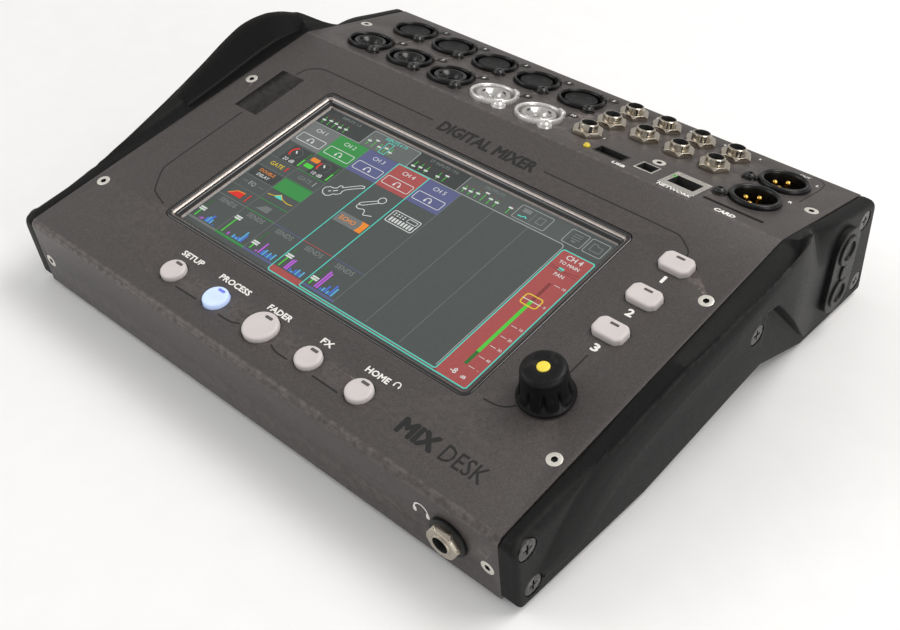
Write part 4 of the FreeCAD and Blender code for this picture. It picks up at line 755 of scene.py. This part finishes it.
COLUMN = 17.18
HEADS = ("grey", "green", "indigo", "red", "indigo")
for i, tone in enumerate(HEADS):
    x = 0.1 + i * COLUMN
    fill(x, 11.2, COLUMN - 0.2, 14.7, tone)
    write("CH %d" % (i + 1), x + 8.5, 14.5, 3.1, "white", 0.03 if i == 3 else 0)
    frame_line(x + 1.2, 18.6, 14.4, 4.9, "white", 0.32, 0.7)
    headphones(x + 8.4, 21.3, 1.35, "white")
    write("SENDS", x + 8.6, 68.6, 3.3, "faint", 0.05)
    stroke([(x, 66.2), (x + COLUMN - 0.3, 66.2)], tone, 0.35)
    fill(x, 82.2, COLUMN - 0.2, 1.1, tone)
for i in range(1, 8):
    stroke([(i * COLUMN, 11.2), (i * COLUMN, 83.2)], "faint", 0.22)
BARS = (((4, 0.6), (5, 1.2), (7, 2.6), (8, 3.4), (9, 4.7), (10, 2.4), (12, 0.5)),
    ((4, 1.6), (7, 1.8), (8, 1.3), (9, 1.2), (10, 2), (11, 5.9), (12, 4.5)),
    ((4, 0.8), (5.5, 6), (7, 2.6), (8, 3.4), (9.3, 2), (10.5, 3), (11.6, 2.2), (12.8, 3.5)),
    ((3.6, 5.6), (4.7, 6), (6.2, 1.6), (7.4, 0.9), (8.6, 2.4), (9.8, 3.2), (11, 2), (12.2, 3.2)),
    ((3.6, 9.6), (4.8, 8.9), (6.4, 1.2), (7.6, 2), (8.8, 3.9), (10, 1.6), (11.2, 5.6), (12.4, 4.5)))
LEVELS = (76.7, 72.2, 78.1, 75.4, 78.2)
for i, (bars, level) in enumerate(zip(BARS, LEVELS)):
    x = 0.1 + i * COLUMN
    fill(x + 2, 71, 0.5, 10.6, "leaf")
    fill(x + 1.9, level, 0.7, 81.6 - level, "lime")
    fill(x + 0.5, level - 0.9, 3.6, 0.8, "white", 0.2)
    fill(x + 0.5, level + 0.2, 3.6, 0.8, "white", 0.2)
    for k, (offset, tall) in enumerate(bars):
        tone = "violet" if offset < 6 else ("sky" if k % 2 else "blue")
        fill(x + 1.3 + offset, 81.6 - tall, 0.85, tall, tone)
# first two channels: gauges, gate, effect and filter tiles
for x, words, turn in ((0.1, "20", 200), (COLUMN, "10", 130)):
    fill(x + 4.8, 26.8, 11.8, 10.4, "shade")
    stroke(circle(x + 9.6, 30.8, 2.9, 14, 120, 420), "back", 0.6)
    stroke(circle(x + 9.6, 30.8, 3.3, 14, 140, 140 + turn * 0.55), "scarlet", 0.9)
    stroke([(x + 9.6, 30.8), (x + 8.4, 29.4)], "white", 0.7)
    write(words + " dB", x + 9.6, 35.6, 2.7, "white", 0.02)
    fill(x + 15.3, 27.2, 0.9, 9, "leaf")
    fill(x + 15.3, 31.6, 0.9, 4.6, "lime")
fill(COLUMN + 0.6, 28.2, 4.6, 2.4, "orange", 0.6)
fill(COLUMN + 0.6, 32.4, 4.6, 2.4, "lime", 0.6)
write("GATE", 8.2, 40.8, 3.1, "yellow", 0.03)
write("GATE", COLUMN + 8.2, 40.8, 3.1, "faint", 0.02)
fill(13.6, 39.2, 0.7, 2.6, "scarlet")
fill(COLUMN + 13.6, 39.2, 0.5, 2.8, "edge")
for y in (37.3, 44.2, 51.6, 58.8):
    stroke([(0.2, y), (COLUMN - 0.3, y)], "grey", 0.25)
    stroke([(COLUMN + 0.2, y), (2 * COLUMN - 0.2, y)], "green", 0.35)
fill(1.1, 45, 15.2, 5.8, "shade", 0.5)
write("DOUBLE", 8.6, 46.6, 2.4, "orange", 0.02)
write("DELAY", 8.6, 49.2, 2.4, "white", 0.02)
fill(COLUMN + 0.3, 44.6, COLUMN - 0.4, 6.8, "green")
write("EQ", 8.4, 54.9, 3, "edge", 0.02)
for x in (2.6, 12.4):
    stroke([(x, 54.9), (x + 3, 54.9)], "faint", 0.3)
curve_up = [(COLUMN + 1.3, 55.3), (COLUMN + 4, 54.9), (COLUMN + 5.6, 54.2), (COLUMN + 7.2, 52.7),
    (COLUMN + 8.6, 54.2), (COLUMN + 10.4, 54.8), (COLUMN + 13, 55.4), (COLUMN + 15.8, 54.9)]
ink("cyan")
display.patch([spot(*p) for p in ((COLUMN + 5, 55.2), (COLUMN + 9.8, 55.2), (COLUMN + 8.4, 54),
    (COLUMN + 7.2, 52.6), (COLUMN + 5.8, 54))], layer[0])
stroke(smooth_path(curve_up), "yellow", 0.35)
ink("scarlet")
display.patch([spot(*p) for p in ((3.4, 64.3), (10.9, 64.3), (10.9, 61.1), (6.6, 61.4))], layer[0])
stroke([(3.4, 64.2), (6.6, 61.3), (10.9, 60.9)], "orange", 0.5)
fill(13.6, 60.2, 0.6, 4.6, "scarlet")
ink("grey")
display.patch([spot(*p) for p in ((20.6, 64.2), (27.8, 64.2), (27.8, 60.9), (24.2, 60.9))],
    layer[0])
# outline pictures of a guitar, a microphone and a keyboard
GUITAR = [(49.8, 29.7), (50.2, 30.6), (49, 31.4), (47.2, 32.9), (44.5, 35.4), (43.9, 37),
    (44.3, 38.2), (43.2, 39.6), (41.8, 40.2), (41.2, 41.6), (39.6, 42.6), (37.4, 42),
    (36.2, 40.6), (36.1, 39), (37.6, 37.6), (39.6, 37.4), (40.6, 36.6), (40.8, 34.9),
    (41.7, 34.5), (42.4, 35.2), (44.6, 33.2), (47, 31), (48.2, 29.9)]
stroke(GUITAR, "white", 0.38, True)
stroke([(40.4, 38.9), (41.9, 37.5)], "white", 0.5)
stroke([(38.8, 40.1), (39.7, 39.2)], "white", 0.5)
stroke(circle(61.9, 31.8, 1.7, 18), "white", 0.38, True)
stroke([(60.6, 32.8), (55.6, 37), (54.9, 38.2), (56, 38.6), (57.4, 37.9), (62, 33.4)],
    "white", 0.38)
stroke(smooth_path([(55.3, 38.4), (55, 40.2), (57, 40.8), (59, 39.6), (60.4, 40.4),
    (60.9, 42.6), (62.6, 41.8), (64.8, 41)]), "white", 0.38)
frame_line(70.3, 32.7, 14.2, 6.7, "white", 0.38, 0.8)
frame_line(78.6, 33.6, 4.8, 1.8, "white", 0.3, 0.2)
for k in range(8):
    fill(71.6 + k * 1.55, 36.2, 0.95, 2.4, "white")
for k in range(4):
    for j in range(2):
        fill(71.4 + k * 1.6, 33.6 + j * 1.1, 0.8, 0.6, "white", 0.2)
fill(52.4, 45.2, 15.4, 5.9, "grey", 0.6)
write("ECHO", 58.3, 48.1, 3.1, "orange", 0.04)
ink("orange")
display.patch([spot(*p) for p in ((64.6, 51), (67.8, 51), (67.8, 45.2), (64, 45.2),
    (64.8, 46.6), (65, 48.4))], layer[0])
# selected channel, its outline and the strip at the right
fill(138.9, 12.9, 14.9, 72.6, "red", 1)
fill(51.7, 83.1, 17, 2.2, "red", 0.6)
fill(68, 84.6, 72, 0.7, "maroon")
stroke([(51.6, 11.2), (68.7, 11.2), (68.7, 84), (69.2, 84.5), (138.3, 84.5), (138.9, 84),
    (138.9, 13.6), (139.5, 12.8), (153.2, 12.8), (153.8, 13.5), (153.8, 84.8), (153.1, 85.5),
    (52.6, 85.5), (51.6, 84.7)], "cyan", 0.5, True)
write("CH 4", 146.1, 15.4, 3.4, "white", 0.05)
write("TO MAIN", 146.1, 18.6, 2.2, "white", 0.04)
stroke([(139.8, 21.4), (146, 22.3), (152.6, 21.2)], "maroon", 0.4)
stroke([(139.8, 22.6), (152.6, 23)], "maroon", 0.3)
fill(143.6, 21, 2.4, 1.8, "cyan", 0.2)
write("PAN", 146.1, 24.8, 2.4, "white", 0.02)
fill(145.4, 29.6, 1.4, 13, "maroon")
fill(145.4, 40.2, 1.5, 36.4, "lime")
fill(145.4, 70, 1.5, 6.8, "leaf")
frame_line(142.4, 37.9, 7.4, 5.2, "yellow", 0.55, 1.2)
stroke([(142, 40.6), (150.2, 40.6)], "white", 0.35)
for y, words in ((29.5, "10"), (40.6, "0"), (53.8, "10"), (59.8, "20"), (65.4, "30"),
        (71.4, "40"), (76.8, "-")):
    stroke([(147.8, y), (150.4, y)], "white", 0.22)
    write(words, 152, y, 1.7, "white", 0.02)
write("-8", 144.9, 81.4, 3.4, "white", 0.06)
write("dB", 149.6, 81.9, 2, "white", 0.04)
display.done("display_picture", "desk", "screen", "display_module", sharp=60)

# ---------------- buttons and keys
def lens(x, s, z, wide, tall, kind, i, mat="lens"):
    """The small light near a button's or key's far edge."""
    window = Shape(on("panel", x + 0.3, s, z))
    window.prism(rounded(0, 0, wide, tall, 0.3), -0.3, 0.08)
    window.done("%s_light_%d" % (kind, i + 1), "%s_%d" % (kind, i + 1), mat, "button_silicone", bevel=0.06)


for i in range(5):
    r = 7 if i == 2 else 5.2
    x = BUTTON_X + (i - 2) * PITCH
    cap = Shape(on("panel", x, BUTTON_S))
    cap.lathe([(r - 0.1, -2.6), (r, -2.4), (r, 0.9), (r - 0.06, 1.25), (r - 0.2, 1.55),
        (r - 0.45, 1.8), (r - 0.8, 1.94), (r - 1.25, 1.97), (r - 1.8, 1.92),
        (r * 0.5, 1.82), (r * 0.2, 1.78), (0, 1.77)], 64)
    cap.lathe([(r + 1.6, -2.7), (r + 1.6, -2.15), (r - 0.2, -2.15)], 48)
    lit = i == 1
    cap.done("button_cap_%d" % (i + 1), "button_%d" % (i + 1), "lit" if lit else "silicone",
        "button_silicone", "round_button_%d" % (i + 1), sharp=50)
    lens(x, BUTTON_S + r * 0.62, 1.95, 3.5, 1.15, "button", i, "blue_lens" if lit else "lens")


def chamfered(wide, deep, corner, soft):
    """A rectangle with cut and softened corners, anticlockwise."""
    hw, hd = wide / 2, deep / 2
    outline = []
    for sx, sy in ((1, 1), (-1, 1), (-1, -1), (1, -1)):
        near_side, near_end = (sx * (hw - corner), sy * hd), (sx * hw, sy * (hd - corner))
        outline += [near_end, near_side] if sx * sy > 0 else [near_side, near_end]
    return corner_arcs(outline, [min(soft, 0.6 * corner)] * 8, 4)


for i in range(3):
    s = KEY_FIRST + (2 - i) * KEY_PITCH
    cap = Shape(on("panel", KEY_X, s))
    rings = [(0, -2.6), (0, 1.2), (0.07, 1.6), (0.22, 1.95), (0.5, 2.22), (0.85, 2.35),
        (1.25, 2.38), (1.9, 2.33)]
    loops = [[(x, y, z) for x, y in chamfered(13 - 2 * shrink, 8.8 - 2 * shrink,
        1.9 - 0.5 * shrink, 0.8)] for shrink, z in rings]
    n = len(loops[0])
    faces = [(j * n + a, j * n + (a + 1) % n, (j + 1) * n + (a + 1) % n, (j + 1) * n + a)
        for j in range(len(loops) - 1) for a in range(n)]
    faces += [tuple(range((len(loops) - 1) * n, len(loops) * n)), tuple(reversed(range(n)))]
    cap.add([p for loop in loops for p in loop], faces)
    cap.done("key_cap_%d" % (i + 1), "key_%d" % (i + 1), "silicone", "button_silicone",
        "soft_key_%d" % (i + 1), sharp=50)
    lens(KEY_X, s + 2.1, 2.33, 3.6, 1.1, "key", i)

# ---------------- knob
FLUTES = 10


def fluted(a, r, z):
    """Leaf-shaped hollows round the knob's side, deepest below the middle."""
    rise = (z - 1.9) / 8
    if not 0 < rise < 1:
        return r
    depth = 1.15 * sin(pi * rise ** 0.75) ** 0.9
    phase = (a * FLUTES / (2 * pi)) % 1
    groove = max(0, 1 - abs(phase - 0.5) / (0.10 + 0.20 * (1 - rise)))
    return r - depth * (3 * groove ** 2 - 2 * groove ** 3)


knob = Shape(on("panel", *KNOB))
flank = [(8.05 + 1.5 * (1 - t) ** 1.5, 1.8 + 10.6 * t) for t in [k / 30 for k in range(31)]]
knob.lathe([(7.3, 5), (7.3, 0), (10, 0), (10.22, 0.2), (10.28, 0.55), (10.2, 0.95),
    (9.95, 1.3), (9.7, 1.55)] + flank
    + [(7.98, 12.9), (7.8, 13.4), (7.45, 13.85), (6.9, 14.15), (6.1, 14.32), (4.8, 14.38),
    (2.7, 14.4), (2.5, 14.3), (2.45, 14), (2.45, 13.2), (0, 13.2)], 180, wave=fluted)
knob.done("dial_grip", "dial", "knob", "control_knob", "control_knob", sharp=60)
disc = Shape(on("panel", *KNOB))
disc.lathe([(2.26, 13.3), (2.26, 14.3), (2.15, 14.44), (1.8, 14.52), (0, 14.56)], 48)
disc.done("dial_mark", "dial", "cap", "knob_cap", "knob_cap", sharp=50)

# ---------------- round sockets
def socket_ring(x, y, name, mat, node):
    """A female connector's round flange, with its latch and the ears under its screws."""
    ring = Shape(on("deck", x, y))
    ring.lathe([(9.1, -12), (9.1, 0.9), (9.25, 1.5), (9.55, 1.92), (9.9, 2), (10.25, 1.85),
        (10.5, 1.4), (10.6, 0.8), (10.65, 0), (9.5, -0.4), (9.5, -20), (0, -20)], 72)
    ring.matrix = on("deck", x, y, 0, LATCH_TURN)
    ring.prism([(-3.4, 9), (3.4, 9), (3, 10.9), (1, 11.6), (-1, 11.6), (-3, 10.9)],
        0, 2.1, 0.08)
    ring.prism(rounded(0, 9.9, 4.4, 1.3, 0.4), 2.1, 2.7, 0.12)
    ring.matrix = on("deck", x, y)
    ring.prism(circle(*SCREW_NEAR, 3.3, 24), 0, 0.7, 0.06)
    ring.done(name, "desk", mat, "socket_plastic", node, sharp=50)


def socket_core(x, y, name, mat, combo):
    """The insert inside a ring, with a jack bore for a combination socket."""
    core = Shape(on("deck", x, y))
    r = 7.6
    if combo:
        core.lathe([(r, -11.9), (r, 0.6), (r - 0.25, 1.15), (r - 0.8, 1.42), (r - 1.5, 1.3),
            (5.6, 0.85), (4.7, 0.2), (3.9, -0.9), (3.4, -2), (3.26, -4), (3.26, -19),
            (0, -19)], 64)
    else:
        core.lathe([(r, -11.9), (r, 0.5), (r - 0.2, 0.95), (r - 0.6, 1.12), (r - 1, 1.02),
            (r - 1.5, 0.86), (0, 0.86)], 64)
    return core.done(name, "desk", mat, "socket_plastic", sharp=50)


# dark discs at the pin holes and a dark slot at each mic latch: painted shade where no hole is cut
wells = Shape()
for i in range(5):
    x = SOCKET_X + i * SOCKET_PITCH
    # the pale colours of sockets 4 and 5 are a painted highlight
    highlit_socket = i in PAINTED_HIGHLIGHT_SOCKETS
    socket_ring(x, COMBO_Q, "combo_ring_%d" % (i + 1), "pale_ring" if highlit_socket else "ring",
        "combo_socket_%d" % (i + 1))
    socket_core(x, COMBO_Q, "combo_core_%d" % (i + 1), "pale_insert" if highlit_socket else "insert", True)
    socket_ring(x, MIC_Q, "mic_ring_%d" % (i + 1), "ring", "mic_socket_%d" % (i + 1))
    core = socket_core(x, MIC_Q, "mic_core_%d" % (i + 1), "pins_face", False)
    if i == 0:
        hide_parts("mic_inserts")
    for angle in (180, 285, 70):
        a = radians(angle)
        for row, reach, high in ((COMBO_Q, 5.9, 1.02), (MIC_Q, 4.2, 0.885)):
            wells.matrix = on("deck", x + reach * cos(a), row + reach * sin(a))
            wells.patch(circle(0, 0, 1.15 if row == COMBO_Q else 1.35, 20), high)
    wells.matrix = on("deck", x, MIC_Q)
    wells.patch(rounded(0, 6.6, 2.4, 1.4, 0.4), 0.9)
wells.done("painted_pin_hole_shade", "desk", "dark", "socket_plastic")
for i, q in enumerate(OUTPUT_ROWS):
    ring = Shape(on("deck", OUTPUT_X, q))
    ring.lathe([(0, -12.9), (8.05, -12.9), (8.15, -12.6), (8.15, 0.6), (8.35, 1.4), (8.8, 1.85),
        (9.3, 2), (9.9, 1.95), (10.35, 1.7), (10.58, 1.2), (10.65, 0.4), (10.65, 0),
        (9.5, -0.3), (9.5, -21), (0, -21)], 72)
    ring.prism(circle(*SCREW_OUT, 3.3, 24), 0, 0.7, 0.06)
    ring.prism(rounded(0, -8.4, 3.6, 1.4, 0.5), -12.5, -1.5)
    ring.done("output_ring_%d" % (i + 1), "desk", "ring", "socket_plastic",
        "output_socket_%d" % (i + 1), sharp=50)
pins = Shape()
for q in OUTPUT_ROWS:
    pins.matrix = on("deck", OUTPUT_X, q)
    for px, py in ((0, 3.9), (0, -3.9), (-3.9, 0)):
        pins.lathe([(1.2, -12.8), (1.2, -0.9), (1.1, -0.5), (0.85, -0.15), (0.5, 0.05), (0, 0.12)],
            20, px, py)
pins.done("contact_pins", "desk", "gold", "output_pins", "output_pins", sharp=60)

# ---------------- small print and drawn lines
lines = Shape(on("panel"))
DRAWN = (
    [(-105.7, 99), (-105.65, 56.5), (-105.2, 53.5), (-97.8, 43.6), (-95.6, 42.1), (-86.8, 39.5)],
    [(-105.4, 131.2), (-104.6, 135.7), (-103.2, 138), (-98.4, 140.9), (-96, 141.4), (-29.8, 141.1)],
    [(30.3, 140.8), (92, 140.7), (95.4, 140.2), (101.6, 135.8), (103, 133.6), (103.3, 130.6)],
    [(-44.4, 11.8), (-32.1, 12)], [(31.5, 12), (44.4, 11.9)],
    [(-19.2, 11.8), (-14.7, 11.8), (-11.6, 12.1), (-8.6, 13.5)],
    [(8.6, 13.3), (11.8, 12), (14.7, 11.8), (18.8, 11.9)],
    [(86.6, 39.4), (91.4, 39.6), (94.8, 40.8), (97.3, 43.4)], [(102.8, 64.4), (102.9, 74.7)])
for path in DRAWN:
    lines.ribbon(smooth_path(path, 2), 0.66, 0.002, 0.035)
lines.matrix = on("deck")
lines.ribbon(smooth_path([(106.4, 63.9), (109.8, 63.9), (113.9, 59.6), (114.1, 36.7)], 1), 0.5, 0.002,
    0.035)
lines.done("drawn_lines", "desk", "line", "top_chassis", sharp=60)

print_white = Shape(on("panel"))
for words, x, wide in (("SETUP", -50.5, 12.2), ("PROCESS", -25.3, 17), ("FADER", 0, 12.3),
        ("FX", 25.1, 5.4), ("HOME", 50.4, 10.9)):
    print_white.text(words, x, 25.8, 3, bold=0.13, fit=(wide, 2.75))
for words, s in (("1", 118.3), ("2", 98.5), ("3", 78.8)):
    print_white.text(words, 103, s, 4, bold=0.2,
        fit=(1.3 if words == "1" else 2.9, 3.7))


def headphone_mark(shape, x, y, r, thick):
    shape.ribbon(circle(x, y, r, 20, 0, 180), thick, 0.004, 0.035)
    for side in (-1, 1):
        shape.prism(rounded(x + side * (r - 0.1), y - r * 0.35, r * 0.5, r * 0.85, r * 0.2), 0.004, 0.036)


headphone_mark(print_white, 59, 26.4, 1.25, 0.42)
print_white.matrix = on("front")
headphone_mark(print_white, 93.1, -12, 3, 0.6)
print_white.matrix = on("deck")
print_white.text("NETWORK", 78, 2.5, 3, bold=0.12, fit=(15.4, 2.2))
print_white.text("USB", 51.2, 3.4, 2.6, bold=0.14, fit=(6.2, 2.3))
print_white.text("CARD", 101, 1.9, 3, bold=0.2, fit=(9, 2.8))
print_white.text("R", 112, 32.8, 2.6, bold=0.1)
print_white.text("L", 111.5, 57, 2.6, bold=0.1)
print_white.text("OUT", 103.8, 61.4, 2, bold=0.06, fit=(4.6, 1.6))
for k, (x, q) in enumerate(((24.8, 20), (24.8, 60.2), (41.8, 60.4), (58.8, 60.4), (75.8, 60.4))):
    print_white.text(str(k + 1), x + 7.6, q, 2.2, bold=0.08)
BUBBLE = (8.8, 12.8)     # a number plate's middle, from its socket
bubbles = Shape(on("deck"))
for i in range(5):
    for row, q in enumerate((COMBO_Q, MIC_Q)):
        x = SOCKET_X + i * SOCKET_PITCH
        cx, cy = x + BUBBLE[0], q + BUBBLE[1]
        way = Vector((cx - x, cy - q)).normalized()
        bubbles.ribbon([(x + way.x * 10.4, q + way.y * 10.4), (cx, cy)], 1.6, 0.003, 0.2)
        bubbles.prism(rounded(cx, cy, 5, 3.7, 1.8, 6), 0.002, 0.24)
        print_white.matrix = on("deck")
        print_white.text(str(i + 1 + (5 if row == 0 else 0)), cx, cy, 2.7, 0.25, bold=0.08)
bubbles.done("number_plates", "desk", "line", "top_chassis", bevel=0.08, sharp=40)
print_white.done("white_print", "desk", "white", "top_chassis", sharp=60)
print_black = Shape(on("panel"))
print_black.text("DIGITAL MIXER", 0.8, 140.4, 7.4, bold=0.34, fit=(51.5, 6.6))
print_black.text("MIX", 79.2, 15.3, 9.8, bold=0.55, fit=(16.6, 7.2))
print_black.text("DESK", 99.2, 15.3, 9.4, bold=0.06, fit=(18, 6.9))
print_black.done("black_print", "desk", "line", "top_chassis", sharp=60)

# ---------------- inside the data ports
contacts = Shape(on("deck", *NETWORK))
for k in range(8):
    contacts.block(-3.9 + k * 1.12, -3.6, 0.42, 0.9, -12, -0.8)
contacts.done("network_contacts", "desk", "gold", "port_shell")
rim = Shape(on("deck", *NETWORK))
rim.ribbon(rounded(0, 0, 15.6, 14.2, 0.5, 3), 0.8, -0.02, 0.12, True)
rim.done("network_rim", "desk", "tin", "port_shell", bevel=0.05)
light = Shape(on("deck", *NETWORK))
light.block(-6.6, 2.6, 1.5, 2.2, -0.02, 0.10)
light.done("network_light", "desk", "green", "port_shell", bevel=0.05)

# ---------------- floor, lights and camera
floor_mesh = bpy.data.meshes.new("floor")
floor_mesh.from_pydata([(-4, -4, 0), (4, -4, 0), (4, 4, 0), (-4, 4, 0)], [], [(0, 1, 2, 3)])
floor = put("floor", floor_mesh)
floor_mesh.materials.append(material("floor", (0.88, 0.88, 0.88), 0.8, mottle=0.01, depth=0))

world = bpy.data.worlds.new("studio")
scene.world = world
world.use_nodes = True
world.node_tree.nodes["Background"].inputs["Color"].default_value = (1, 0.99, 0.98, 1)
world.node_tree.nodes["Background"].inputs["Strength"].default_value = 0.55


def softbox(name, place, target, wide, tall, power, tint=(1, 1, 1)):
    lamp = bpy.data.lights.new(name, "AREA")
    lamp.shape = "RECTANGLE"
    lamp.size, lamp.size_y = wide, tall
    lamp.energy = power
    lamp.color = tint
    obj = put(name, lamp)
    obj.location = place
    obj.rotation_euler = (Vector(target) - Vector(place)).to_track_quat("-Z", "Y").to_euler()


softbox("key", (0.45, 0.55, 1.15), (0, 0, 0.04), 0.9, 0.6, 10, (1, 0.97, 0.94))
softbox("fill", (-0.9, -0.7, 0.9), (0, 0, 0.04), 0.9, 0.9, 5)
softbox("side", (1.1, -0.1, 0.35), (0.1, 0, 0.03), 0.6, 0.5, 3)

CAMERA = (
    (0.74386518, -0.43376211, 0.50844373, 0.27149),
    (0.66832890, 0.48396826, -0.56489928, -0.28883),
    (-0.00103872, 0.76001655, 0.64990289, 0.30661),
    (0, 0, 0, 1))
camera_data = bpy.data.cameras.new("camera")
camera = put("camera", camera_data)
scene.camera = camera
camera_data.sensor_width = 36
camera_data.lens = 1.299789 * camera_data.sensor_width
camera_data.shift_x, camera_data.shift_y = -0.0172056, 0.0326278
camera_data.clip_start = 0.01
camera.matrix_world = Matrix(CAMERA)
scene.view_settings.view_transform = "Standard"
